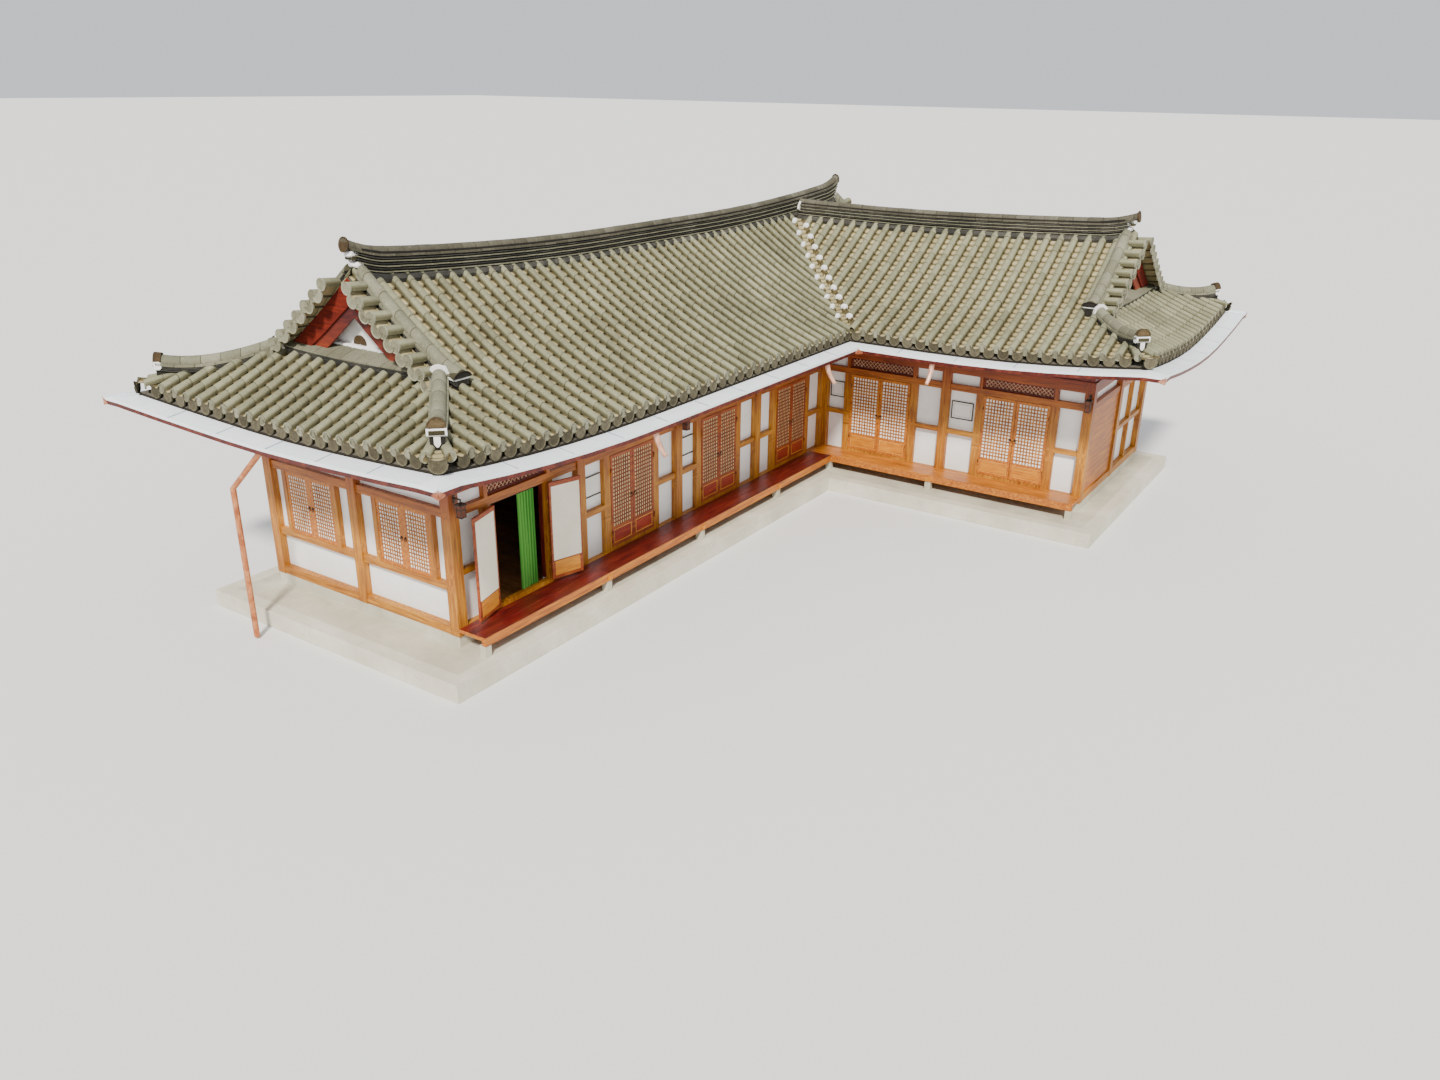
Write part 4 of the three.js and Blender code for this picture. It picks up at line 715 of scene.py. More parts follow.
FASCIA = copper_look("fascia_copper", [(0.03, 0.003, 0.003), (0.1, 0.01, 0.006), (0.22, 0.045, 0.02)])
LEAF_COPPER = copper_look("leaf_copper", [(0.16, 0.035, 0.015), (0.4, 0.13, 0.06), (0.72, 0.45, 0.33)])
GUTTER_SEAMS = copper_look("gutter_seam", [(0.3, 0.36, 0.44), (0.42, 0.48, 0.55), (0.55, 0.6, 0.66)])
SHEET = sheet_look()
STONE = stone_look("granite", [(0.44, 0.41, 0.31), (0.57, 0.54, 0.43), (0.66, 0.63, 0.52)])
KERB_GRANITE = stone_look("kerb_granite", [(0.56, 0.53, 0.42), (0.66, 0.63, 0.52), (0.78, 0.75, 0.64)])
PLASTER = plaster_look()


# Roof surfaces.

def bed(d):
    return BED_EAVE + PITCH * d + CURVE * d * d


def lay(d):
    """Height of the channels' lowest line above the bed: thicker at the eave."""
    return EAVE_LAY * np.clip(1 - np.asarray(d, float) / LAY_REACH, 0, 1) ** 1.5


class Slope:
    """One roof plane, measured along its eave (s) and up from it (d)."""

    def __init__(self, corner, along, up, length, lifts, tops, bow=0.0, row=None):
        self.corner, self.along, self.up = np.array(corner), np.array(along), np.array(up)
        self.length, self.lifts, self.tops, self.bow = length, lifts, tops, bow
        eave = row or length
        self.row = eave / round(eave / ROW)

    def lift(self, s, d):
        total = 0.0
        up = np.clip(1 - d / HALF_SPAN, 0, 1)
        high = np.clip((d - TOP_LIFT_START) / (HALF_SPAN - TOP_LIFT_START), 0, 1)
        for lifted, top, e in zip(self.lifts, self.tops, (s, self.length - s)):
            e = np.maximum(e, 0)
            total = total + lifted * CORNER_LIFT * np.clip(1 - e / LIFT_REACH, 0, 1) ** 2 * up
            total = total + top * np.clip(1 - e / TOP_LIFT_REACH, 0, 1) ** 2 * high
        return total

    def at(self, s, d, rise=0.0):
        """Points above the bed, s along the eave and d up from it."""
        s, d, rise = np.broadcast_arrays(np.asarray(s, float), np.asarray(d, float), np.asarray(rise, float))
        x = self.corner[0] + self.along[0] * s + self.up[0] * d
        y = self.corner[1] + self.along[1] * s + self.up[1] * d
        return np.stack([x, y, bed(d) + self.lift(s, d) + rise], -1)

    def flat(self, points):
        """Plan points as s and d."""
        away = np.array(points, float) - self.corner
        return np.stack([away @ self.along, away @ self.up], -1)

    def eave(self, s):
        t = np.clip(np.asarray(s, float) / self.length, 0, 1)
        return self.bow * 4 * t * (1 - t)


SLOPES = {
    "long_front": Slope((LEFT, FRONT), (1, 0), (0, 1), RIGHT - LEFT, (1, 0), (MAIN_TOP_LIFT,) * 2,
                        row=WING_LEFT - LEFT),
    "long_back": Slope((RIGHT, BACK), (-1, 0), (0, -1), RIGHT - LEFT, (1, 1), (MAIN_TOP_LIFT,) * 2),
    "long_end": Slope((LEFT, BACK), (0, -1), (1, 0), BACK - FRONT, (1, 1), (0, 0), LEFT_BOW),
    "wing_yard": Slope((WING_LEFT, WING_FRONT), (0, 1), (1, 0), BACK - WING_FRONT, (1, 0),
                       (WING_TOP_LIFT, JUNCTION_LIFT), row=FRONT - WING_FRONT),
    "wing_outer": Slope((RIGHT, WING_FRONT), (0, 1), (-1, 0), BACK - WING_FRONT, (1, 1),
                        (WING_TOP_LIFT, JUNCTION_LIFT)),
    "wing_end": Slope((WING_LEFT, WING_FRONT), (1, 0), (0, 1), RIGHT - WING_LEFT, (1, 1), (0, 0)),
}

LEFT_X = LEFT + LEFT_VERGE
WING_Y = WING_FRONT + OTHER_VERGE
FAR_X = RIGHT - OTHER_VERGE
LEFT_GABLE = LEFT_X + GABLE_INSET
FAR_GABLE = FAR_X - GABLE_INSET
SKIRT = OTHER_VERGE + GABLE_INSET
FOOT = (WING_LEFT, FRONT)
JUNCTION = (RIDGE_X, RIDGE_Y)


class Patch:
    """A part of a slope inside a plan outline that has one stretch of d at each s."""

    def __init__(self, slope, outline, valleys=()):
        self.slope = SLOPES[slope]
        self.corners = self.slope.flat(outline)
        self.valleys = [self.slope.flat(line) for line in valleys]
        self.low, self.high = self.corners[:, 0].min(), self.corners[:, 0].max()

    def limits(self, s):
        s = np.clip(np.asarray(s, float), self.low + 1e-4, self.high - 1e-4)
        bottom, top = np.full(s.shape, 99.0), np.full(s.shape, -99.0)
        count = len(self.corners)
        for i in range(count):
            (s0, d0), (s1, d1) = self.corners[i], self.corners[(i + 1) % count]
            if abs(s1 - s0) < 1e-9:
                continue
            t = (s - s0) / (s1 - s0)
            crossed = (t >= 0) & (t <= 1)
            d = d0 + (d1 - d0) * t
            bottom = np.where(crossed, np.minimum(bottom, d), bottom)
            top = np.where(crossed, np.maximum(top, d), top)
        on_eave = bottom < 1e-3
        return np.where(on_eave, self.slope.eave(s), bottom), top

    def valley_gap(self, s, gap):
        """How much higher a row starts where its foot lies on a valley."""
        extra = np.zeros(np.shape(s))
        for line in self.valleys:
            low, high = sorted(line[:, 0])
            extra = np.where((s > low) & (s < high), gap, extra)
        return extra


PATCHES = {
    "long_front": [Patch("long_front", [(LEFT, FRONT), FOOT, JUNCTION, (LEFT_X, RIDGE_Y),
                                        (LEFT_X, FRONT + LEFT_VERGE)], [[FOOT, JUNCTION]])],
    "long_back": [
        Patch("long_back", [(RIGHT, BACK), (LEFT, BACK), (LEFT_X, BACK - LEFT_VERGE), (LEFT_X, RIDGE_Y),
                            (FAR_X, RIDGE_Y), (FAR_X, BACK - OTHER_VERGE)]),
        Patch("long_front", [JUNCTION, (FAR_X, FRONT + OTHER_VERGE), (FAR_X, RIDGE_Y)],
              [[JUNCTION, (FAR_X, FRONT + OTHER_VERGE)]]),
    ],
    "long_end": [Patch("long_end", [(LEFT, BACK), (LEFT, FRONT),
                                    (LEFT_X - COPED, FRONT + LEFT_VERGE - COPED),
                                    (LEFT_X - COPED, BACK - LEFT_VERGE + COPED)])],
    "wing_yard": [Patch("wing_yard", [FOOT, (WING_LEFT, WING_FRONT), (WING_LEFT + OTHER_VERGE, WING_Y),
                                      (RIDGE_X, WING_Y), JUNCTION], [[FOOT, JUNCTION]])],
    "wing_outer": [
        Patch("wing_outer", [(RIGHT, WING_FRONT), (RIGHT, FRONT + SKIRT), (FAR_GABLE, FRONT + SKIRT),
                             (RIDGE_X, FRONT + SKIRT), (RIDGE_X, WING_Y), (FAR_X, WING_Y)]),
        Patch("wing_outer", [(FAR_GABLE, FRONT + SKIRT), JUNCTION, (RIDGE_X, FRONT + SKIRT)],
              [[(FAR_GABLE, FRONT + SKIRT), JUNCTION]]),
        Patch("wing_outer", [(RIGHT, FRONT + SKIRT), (RIGHT, BACK),
                             (FAR_X + COPED, BACK - OTHER_VERGE + COPED), (FAR_X + COPED, FRONT + SKIRT)]),
    ],
    "wing_end": [Patch("wing_end", [(WING_LEFT, WING_FRONT), (RIGHT, WING_FRONT),
                                    (FAR_X + COPED, WING_Y - COPED),
                                    (WING_LEFT + OTHER_VERGE - COPED, WING_Y - COPED)])],
}


class Line:
    """A ridge's route: where it is and which way is sideways, at a run along it."""

    def __init__(self, place, length):
        self.place, self.length = place, length

    def ring(self, run, profile, shift=0.0):
        step = 0.02
        before, after = self.place(max(0, run - step)), self.place(min(self.length, run + step))
        way = unit((after - before) * [1, 1, 0])
        side = np.array([way[1], -way[0], 0])
        return self.place(run) + profile[:, :1] * side + np.array([0, 0, 1]) * (profile[:, 1:] + shift)


# Tiles.

BARREL_ARC = np.radians(np.linspace(198, -18, 10))
BARREL_STEPS = np.array([0.0, 0.04, 0.96, 1.0])
BARREL_SIZES = np.array([0.95, 1.0, 0.985, 0.92])


def barrel_grain(count):
    across = np.broadcast_to(np.cos(BARREL_ARC) * 0.8, (len(BARREL_STEPS), len(BARREL_ARC)))
    along = np.broadcast_to(BARREL_STEPS[:, None], across.shape)
    grain = np.stack([across, along, across * 0], -1)
    return np.broadcast_to(grain, (count, *grain.shape))


def row_places(patch):
    """Where the rows lie, apart from the two at each outer corner, which fan out."""
    slope = patch.slope
    last = slope.length - 1.5 * slope.row if slope.lifts[1] else slope.length
    rows = range(math.ceil(patch.low / slope.row), math.floor(patch.high / slope.row) + 1)
    return [k * slope.row for k in rows if 1.5 * slope.row < k * slope.row < last]


def add_barrels(shapes, patch):
    """Barrel tiles in rows up a patch, each tile a little loose in its place."""
    slope = patch.slope
    grids = []
    for s in row_places(patch):
        bottom, top = patch.limits(s)
        bottom = bottom + patch.valley_gap(s, BARREL_GAP)
        for start in np.arange(float(bottom), float(top) - 0.02, BARREL_LENGTH):
            end = min(start + BARREL_LENGTH, float(top))
            wobble = random.uniform(-0.003, 0.003, 2)
            d = start + (end - start) * BARREL_STEPS
            radius = BARREL * random.uniform(0.985, 1.015) * BARREL_SIZES
            across = s + wobble[0] + radius[:, None] * np.cos(BARREL_ARC)
            rise = lay(d)[:, None] + BARREL_RISE + wobble[1] + radius[:, None] * np.sin(BARREL_ARC)
            grids.append(slope.at(across, d[:, None], rise))
    shapes.add_grids(np.array(grids), grain=barrel_grain(len(grids)))


CHANNEL_PLACES = np.linspace(-0.5, 0.5, 9)


def channel_rise(u, d):
    return lay(d) + CHANNEL_BASE + CHANNEL_SAG * (2 * u) ** 2


def channel_grain(count, columns, reach=1.35):
    across = np.broadcast_to(np.linspace(-reach, reach, columns), (3, columns))
    along = np.broadcast_to(np.array([0.0, 0.05, 1.0])[:, None], across.shape)
    grain = np.stack([across, along, across * 0], -1)
    return np.broadcast_to(grain, (count, *grain.shape))


def add_channels(shapes, patch):
    """Channel tiles between the rows, each course lapping over the one below."""
    slope = patch.slope
    first, last = math.floor(patch.low / slope.row), math.ceil(patch.high / slope.row)
    grids = []
    for k in range(first, last):
        s = (k + 0.5 + CHANNEL_PLACES) * slope.row
        if k == 0 or (slope.lifts[1] and s[0] > slope.length - 1.5 * slope.row):
            continue
        bottom, top = patch.limits(s)
        bottom = bottom + patch.valley_gap(s, CHANNEL_GAP)
        if (top - bottom).max() < 0.03:
            continue
        for lower in np.arange(float(bottom.min()), float(top.max()), CHANNEL_STEP):
            tilt = random.uniform(-0.003, 0.003)
            low = np.clip(lower, bottom, top)
            high = np.clip(lower + CHANNEL_STEP, bottom, top)
            if (high - low).max() < 1e-3:
                continue
            lip = channel_rise(CHANNEL_PLACES, low) + CHANNEL_LIP + tilt
            far = channel_rise(CHANNEL_PLACES, high) + 0.001
            under = channel_rise(CHANNEL_PLACES, low) - 0.004
            grids.append(np.stack([slope.at(s, low + 0.002, under), slope.at(s, low, lip),
                                   slope.at(s, high, far)]))
    shapes.add_grids(np.array(grids), grain=channel_grain(len(grids), len(CHANNEL_PLACES)))


def add_disc(shapes, centre, out, radius, tall=1.0, rim=0.014, depth=0.006, count=18):
    """A round end face with a raised rim, facing out."""
    place = upright(centre, out)
    angles = np.linspace(0, 2 * math.pi, count, endpoint=False)
    circle = np.stack([np.cos(angles), 0 * angles, np.sin(angles) * tall], -1) * radius
    inner = 1 - rim / radius
    steps = [(0.96, -0.03), (1.0, 0.0), (inner, 0.0), (inner - 0.03, -depth), (0.02, -depth)]
    rows = [circle * size + (0, forward, 0) for size, forward in steps]
    grain = [np.broadcast_to((size, 0, 0), circle.shape) for size, _ in steps]
    shapes.add_grids(moved(np.array(rows), place)[None], closed=True, grain=np.array(grain)[None])


def add_plate(shapes, centre, out, radius, base, sag=CHANNEL_SAG, tilt=0.0):
    """A hanging end plate: round below, hollow above where it meets the channel."""
    u = np.linspace(-1, 1, 15)
    upper = base + sag * u ** 2
    lower = np.minimum(-np.sqrt(np.maximum(0, 1 - u ** 2)) * radius, upper - 0.002)
    steps = [(lower, 1.0, -0.03), (lower, 1.0, 0.0), (lower * 0.9, 0.92, 0.0),
             (lower * 0.86, 0.88, -0.006), (upper - 0.012, 0.88, -0.006), (upper - 0.004, 0.98, 0.0),
             (upper, 1.0, 0.0), (upper, 1.0, -0.04)]
    rows = [np.stack([u * radius * size, 0 * u + forward, z], -1) for z, size, forward in steps]
    spread = [np.hypot(row[:, 0], row[:, 2]) / radius for row in rows]
    grain = [np.stack([value, 0 * value, 0 * value], -1) for value in spread]
    place = upright(centre, out) @ Matrix.Rotation(tilt, 4, "Y")
    shapes.add_grids(moved(np.array(rows), place)[None], grain=np.array(grain)[None], facing=out)


# Eaves, with their lengths and whether the far corner stands out like the near one.
EAVES = [("long_front", WING_LEFT - LEFT, False), ("wing_yard", FRONT - WING_FRONT, False),
         ("wing_end", RIGHT - WING_LEFT, True), ("wing_outer", BACK - WING_FRONT, True),
         ("long_back", RIGHT - LEFT, True), ("long_end", BACK - FRONT, True)]


def add_eave_ends(plates, discs):
    for name, length, both in EAVES:
        slope = SLOPES[name]
        out = np.array([*(-slope.up), 0.0])
        count = round(length / slope.row)
        for k in range(2, count - 1 if both else count):
            s = k * slope.row
            rise = float(lay(0)) + BARREL_RISE
            add_disc(discs, slope.at(s, float(slope.eave(s)), rise) + out * 0.014, out, DISC)
        for k in range(1, count - 1 if both else count):
            s = (k + 0.5) * slope.row
            base = float(channel_rise(0, 0)) + CHANNEL_LIP - PLATE
            centre = slope.at(s, float(slope.eave(s)), PLATE) + out * 0.02
            add_plate(plates, centre, out, PLATE, base)


def add_flared_channel(shapes, line, width, sag, step=CHANNEL_STEP):
    """A channel along a hip's foot or a valley, from its high end down."""
    u = np.linspace(-1, 1, 9)
    edges = np.arange(line.length, 0, -step)
    grids = []
    for lower in edges:
        upper = max(0.0, lower - step)
        rows = []
        for run, rise in ((lower, -0.004), (lower, CHANNEL_LIP), (upper, 0.001)):
            profile = np.stack([u * width(run) / 2, CHANNEL_BASE + rise + sag * u ** 2], -1)
            rows.append(line.ring(run, profile))
        grids.append(rows)
    shapes.add_grids(np.array(grids), grain=channel_grain(len(grids), len(u), 1.0))


def diagonal_line(slope, from_end, high):
    """Down the diagonal to the corner, from a distance up the slope, on the channels' bed."""
    slope = SLOPES[slope]
    length = high * math.sqrt(2)

    def place(run):
        d = high - run / math.sqrt(2)
        return slope.at(slope.length - d if from_end else d, d, float(lay(d)))
    return Line(place, length)


# Outer corners: a slope that ends there, and whether the corner is at its far end.
CORNERS = [("long_end", True), ("long_end", False), ("wing_end", False), ("wing_end", True),
           ("long_back", False)]
CORNER_CHANNEL_REACH = 0.3
CORNER_CHANNEL_HEAD = 0.16
CORNER_CHANNEL_SPREAD = 0.22
CORNER_CHANNEL_SAG = 0.04
# A turned barrel's head and foot: how far along the eave from the corner, and how far up.
FAN_HEAD = (0.52, 0.5)
FAN_FOOT = 0.235


def add_fan_barrel(tiles, discs, slope, start, end):
    """A barrel beside a corner's wide channel, turned a little towards the corner."""
    start, end = np.array(start), np.array(end)
    way = unit(start - end)
    count = round(float(np.linalg.norm(start - end)) / BARREL_LENGTH + 0.3)
    across = np.array([way[1], -way[0]])
    for i in range(count):
        steps = end + (start - end) * ((i + BARREL_STEPS[:, None]) / count)
        size = BARREL * BARREL_SIZES[:, None]
        places = steps[:, None, :] + across * (size * np.cos(BARREL_ARC))[..., None]
        centre = slope.at(steps[:, 0], steps[:, 1], lay(steps[:, 1]) + BARREL_RISE)[:, 2]
        grid = slope.at(places[..., 0], places[..., 1])
        grid[..., 2] = centre[:, None] + size * np.sin(BARREL_ARC)
        tiles.add_grids(grid[None], grain=barrel_grain(1))
    out = -(way[0] * slope.along + way[1] * slope.up)
    centre = slope.at(end[0], end[1], float(lay(0)) + BARREL_RISE) + np.array([*out, 0]) * 0.014
    add_disc(discs, centre, [*out, 0.0], DISC)


def build_corners(channels, plates, tiles, discs):
    """At each outer corner a wide channel lies under the hip, between two turned barrels."""
    for name, from_end in CORNERS:
        line = diagonal_line(name, from_end, HIP_END + CORNER_CHANNEL_REACH)
        add_flared_channel(channels, line, lambda run: CORNER_CHANNEL_HEAD
                           + CORNER_CHANNEL_SPREAD * run / line.length, CORNER_CHANNEL_SAG)
        tip, before = line.place(line.length), line.place(line.length - 0.1)
        out = unit((tip - before) * [1, 1, 0])
        centre = tip + out * 0.02 + np.array([0, 0, PLATE - float(lay(0))])
        add_plate(plates, centre, out, CORNER_PLATE, float(channel_rise(0, 0)) + CHANNEL_LIP - PLATE)
    for slope in SLOPES.values():
        ends = [(0, 1), (slope.length, -1)] if slope.lifts[1] else [(0, 1)]
        for corner, turn in ends:
            add_fan_barrel(tiles, discs, slope, (corner + turn * FAN_HEAD[0], FAN_HEAD[1]),
                           (corner + turn * FAN_FOOT, 0.0))


def valley_line(start, end):
    """Down a valley: plan points on the long front slope, from its top to its foot."""
    slope = SLOPES["long_front"]
    high, low = slope.flat(start), slope.flat(end)
    length = float(np.linalg.norm(low - high))

    def place(run):
        s, d = high + (low - high) * run / length
        return slope.at(s, d, float(lay(d)) + 0.01)
    return Line(place, length)


# How much higher a row starts at a valley: its barrels and its channels.
BARREL_GAP = 0.2
CHANNEL_GAP = 0.1
VALLEY_SAG = 0.1
DOME = np.array([0.085, 0.06, 0.08])


def build_valleys():
    """A wide channel down each valley, and a dome of mortar in the foot of each cut row."""
    strip, domes = Shapes(), Shapes()
    for foot in (FOOT, (FAR_X - 0.1, FRONT + OTHER_VERGE + 0.1)):
        add_flared_channel(strip, valley_line(JUNCTION, foot), lambda run: VALLEY_WIDTH, VALLEY_SAG)
    for patches in PATCHES.values():
        for patch in patches:
            for s in row_places(patch):
                if not patch.valley_gap(s, 1.0):
                    continue
                bottom, top = patch.limits(s)
                d = float(bottom) + BARREL_GAP
                if d > float(top) - 0.1:
                    continue
                centre = patch.slope.at(s, d, float(lay(d)) + BARREL_RISE - 0.01)
                domes.add_lump(upright(centre, [*(-patch.slope.up), 0.0]), DOME, 0.08)
    strip.build("valley_tiles", "house", "tile", CHANNEL)
    domes.build("valley_mortar", "house", "plaster", MORTAR)


# Verge tiles over each gable: a slope, a place along its eave, the way inward and a start.
VERGES = [("long_front", LEFT_VERGE, 1, LEFT_VERGE),
          ("long_back", RIGHT - LEFT - LEFT_VERGE, -1, LEFT_VERGE),
          ("wing_yard", OTHER_VERGE, 1, OTHER_VERGE),
          ("wing_outer", OTHER_VERGE, 1, OTHER_VERGE),
          ("long_front", RIGHT - LEFT - OTHER_VERGE, -1, OTHER_VERGE + 0.25),
          ("long_back", OTHER_VERGE, 1, OTHER_VERGE)]
VERGE_TILE = 0.36
VERGE_START = 0.12
VERGE_STOP = 0.25
VERGE_CHANNEL = 0.125
VERGE_PLATE = 0.124
VERGE_SAG = 0.05
VERGE_LIP = 0.045


def verge_strip(slope, s, inward, d, steps, across, rise):
    """Points of a tile that lies across the verge, level along its own width."""
    along = s - inward * VERGE_REACH + inward * steps
    points = slope.at(along[:, None] + 0 * across, d + across, 0.0)
    points[..., 2] = slope.at(along, d, 0.0)[:, 2, None] + rise
    return points


def build_verges():
    """Barrels and channels across each verge, each closed by a disc or a plate."""
    tiles, channels, discs, plates = Shapes(), Shapes(), Shapes(), Shapes()
    u = np.linspace(-1, 1, 9)
    for name, s, inward, verge in VERGES:
        slope = SLOPES[name]
        out = np.array([*(-inward * slope.along), 0.0])
        outer = s - inward * VERGE_REACH
        count = int((HALF_SPAN - VERGE_STOP - verge) / VERGE_STEP)
        for i in range(count + 1):
            d = verge + VERGE_START + VERGE_STEP * i
            size = VERGE_BARREL * BARREL_SIZES[:, None]
            grid = verge_strip(slope, s, inward, d, BARREL_STEPS * VERGE_TILE, size * np.cos(BARREL_ARC),
                               VERGE_RISE + size * np.sin(BARREL_ARC))
            tiles.add_grids(grid[None], grain=barrel_grain(1))
            add_disc(discs, slope.at(outer, d, VERGE_RISE) + out * 0.012, out, VERGE_BARREL * 1.05)
        for i in range(-1, count):
            d = verge + VERGE_START + VERGE_STEP * (i + 0.5)
            rise = np.array([0.02, 0.05, VERGE_LIP])[:, None] + VERGE_SAG * u ** 2
            along = s - inward * VERGE_REACH + inward * np.array([0.0, 0.0, VERGE_TILE])
            grid = slope.at(along[:, None] + 0 * u, d + u * VERGE_CHANNEL, rise)
            channels.add_grids(grid[None], grain=channel_grain(1, len(u), 0.25))
            climb = slope.at(outer, d + 0.05) - slope.at(outer, d)
            across = np.array(upright(Vector((0, 0, 0)), out).col[0])[:3]
            add_plate(plates, slope.at(outer, d, VERGE_LIP) + out * 0.02, out, VERGE_PLATE, 0.005,
                      tilt=-math.atan(climb[2] / float(climb @ across)))
    tiles.build("verge_barrel_tiles", "house", "tile", TILE)
    channels.build("verge_channel_tiles", "house", "tile", CHANNEL)
    discs.build("verge_discs", "house", "tile", END_TILE)
    plates.build("verge_plates", "house", "tile", END_TILE)


def build_tiles():
    for name, patches in PATCHES.items():
        barrels, channels = Shapes(), Shapes()
        for patch in patches:
            add_barrels(barrels, patch)
            add_channels(channels, patch)
        barrels.build(f"{name}_barrel_tiles", "house", "tile", TILE)
        channels.build(f"{name}_channel_tiles", "house", "tile", CHANNEL)
    plates, discs, corners, turned = Shapes(), Shapes(), Shapes(), Shapes()
    add_eave_ends(plates, discs)
    build_corners(corners, plates, turned, discs)
    corners.build("corner_channels", "house", "tile", CHANNEL)
    turned.build("corner_barrel_tiles", "house", "tile", TILE)
    plates.build("eave_plates", "house", "tile", SHADED_PLATE_TILE)
    discs.build("eave_discs", "house", "tile", END_TILE)


# Ridges: courses of tiles laid along a line. Their parts, with the piece each becomes.
RIDGE_PARTS = {
    "top": ("top_tiles", TOP_TILE), "base": ("base_tiles", CAP_TILE), "cap": ("cap_tiles", CAP_TILE),
    "thin": ("thin_tiles", DARK_TILE), "core": ("core", RIDGE_EARTH_AND_SHADE), "end": ("end_tiles", DARK_END),
    "horn": ("horn_tiles", RIDGE_EARTH_AND_SHADE), "mortar": ("mortar", MORTAR),
}
WING_RIDGE_START = 0.16
THIN_TILE = 0.27
THIN_GAP = 0.004

def slab_profile(half, low, high, edge=0.0):
    """A flat course: half its width, and its underside and top."""
    if edge == 0:
        return np.array([(-half, low), (half, low), (half, high), (-half, high)])
    arc = np.radians(np.linspace(-90, 90, 5))
    middle, radius = (low + high) / 2, (high - low) / 2
    right = [(half - radius + radius * math.cos(a), middle + radius * math.sin(a)) for a in arc]
    left = [(-x, z) for x, z in reversed(right)]
    return np.array(right + left)


def cap_profile(radius, centre):
    arc = np.radians(np.linspace(-25, 205, 12))
    return np.stack([radius * np.cos(arc), centre + radius * np.sin(arc)], -1)


def add_course(shapes, line, profile, start=0.0, end=None, tile=RIDGE_TILE, gap=0.006, offset=0.0,
               joint=0.96):
    """Tiles end to end along a line, with a fine joint between them."""
    end = line.length if end is None else end
    edges = np.concatenate([[start], np.arange(start + tile * (0.4 + offset), end - 0.05, tile), [end]])
    middle = profile[:, 1].mean()
    grids, grains = [], []
    for a, b in zip(edges[:-1], edges[1:]):
        shift = random.uniform(-0.0025, 0.0025)
        rings, grain = [], []
        stations = ((a + gap / 2, joint, 0.0), (a + gap / 2 + 0.01, 1.0, 0.05), ((a + b) / 2, 1.0, 0.5),
                    (b - gap / 2 - 0.01, 1.0, 0.9), (b - gap / 2, joint, 1.0))
        for run, size, along in stations:
            shape = np.stack([profile[:, 0] * size, middle + (profile[:, 1] - middle) * size], -1)
            rings.append(line.ring(run, shape, shift))
            grain.append(np.broadcast_to((0, along, 0), (len(profile), 3)))
        grids.append(rings)
        grains.append(grain)
    shapes.add_grids(np.array(grids), closed=True, caps=True, grain=np.array(grains))


def main_line():
    """The long ridge, swept up at both ends."""
    slope = SLOPES["long_front"]
    length = FAR_X - LEFT_X

    def place(run):
        curl = RIDGE_CURL * max(0, 1 - min(run, length - run) / CURL_REACH) ** 2
        return slope.at(LEFT_VERGE + run, HALF_SPAN, curl)
    return Line(place, length)


def wing_line():
    """The wing's ridge, from the long roof's ridge to its swept-up end."""
    slope = SLOPES["wing_yard"]
    start = RIDGE_Y - WING_RIDGE_START
    length = start - WING_Y

    def place(run):
        curl = RIDGE_CURL * max(0, 1 - (length - run) / CURL_REACH) ** 2
        return slope.at(start - run - WING_FRONT, HALF_SPAN, curl)
    return Line(place, length)


def tip(line, height, back=0.0, far=True):
    """A point over a line near one end of it, and the way out from there."""
    ends = (line.length - back, line.length - back - 0.05) if far else (back, back + 0.05)
    here, before = [line.ring(run, np.array([[0.0, height]]))[0] for run in ends]
    return here, unit((here - before) * [1, 1, 0.4])


def build_parts(parts, name, node):
    """Makes the pieces of one ridge. The first of them stands for the ridge's solid."""
    for i, (key, shapes) in enumerate(parts.items()):
        label, look = RIDGE_PARTS[key]
        slot = "plaster" if key == "mortar" else "tile"
        shapes.build(f"{name}_{label}", "house", slot, look, smooth=key != "core",
                     replaces=[node] if i == 0 else ())


# Mortar below a top ridge's end: how far back and how high each lump sits, and its size.
END_LUMPS = [(0.12, 0.27, (0.1, 0.1, 0.055)), (0.2, 0.13, (0.13, 0.09, 0.05)),
             (0.27, 0.0, (0.16, 0.1, 0.07))]


def add_ridge_end(parts, line, height, far):
    """The swept-up end of a top ridge: a dark end tile over mortar and a small flat tile."""
    centre, out = tip(line, height - 0.1, 0.0, far)
    add_disc(parts["end"], centre + out * 0.01, out, 0.112, 1.1)
    level = unit(out * [1, 1, 0])
    for back, rise, size in END_LUMPS:
        here, _ = tip(line, rise, back, far)
        parts["mortar"].add_lump(upright(here, level), np.array(size))
    here, _ = tip(line, 0.2, 0.1, far)
    parts["base"].add_box((-0.085, -0.05, -0.03), (0.085, 0.03, 0.03), upright(here, level), bevel=0.006)


# A top ridge's courses, in half widths and heights.
TOP_CORE = 0.105
CORE_FOOT = -0.16
BASE_COURSE = (0.2, -0.11, 0.055)
PALE_COURSE = (0.152, 0.068, 0.084)
THIN_COURSES = 5
THIN_HALVES = (0.134, 0.15)
THIN_FOOT, THIN_TOP = 0.115, 0.15
UPPER_COURSE = (0.146, 0.15, 0.115)
TOP_CAP = 0.098


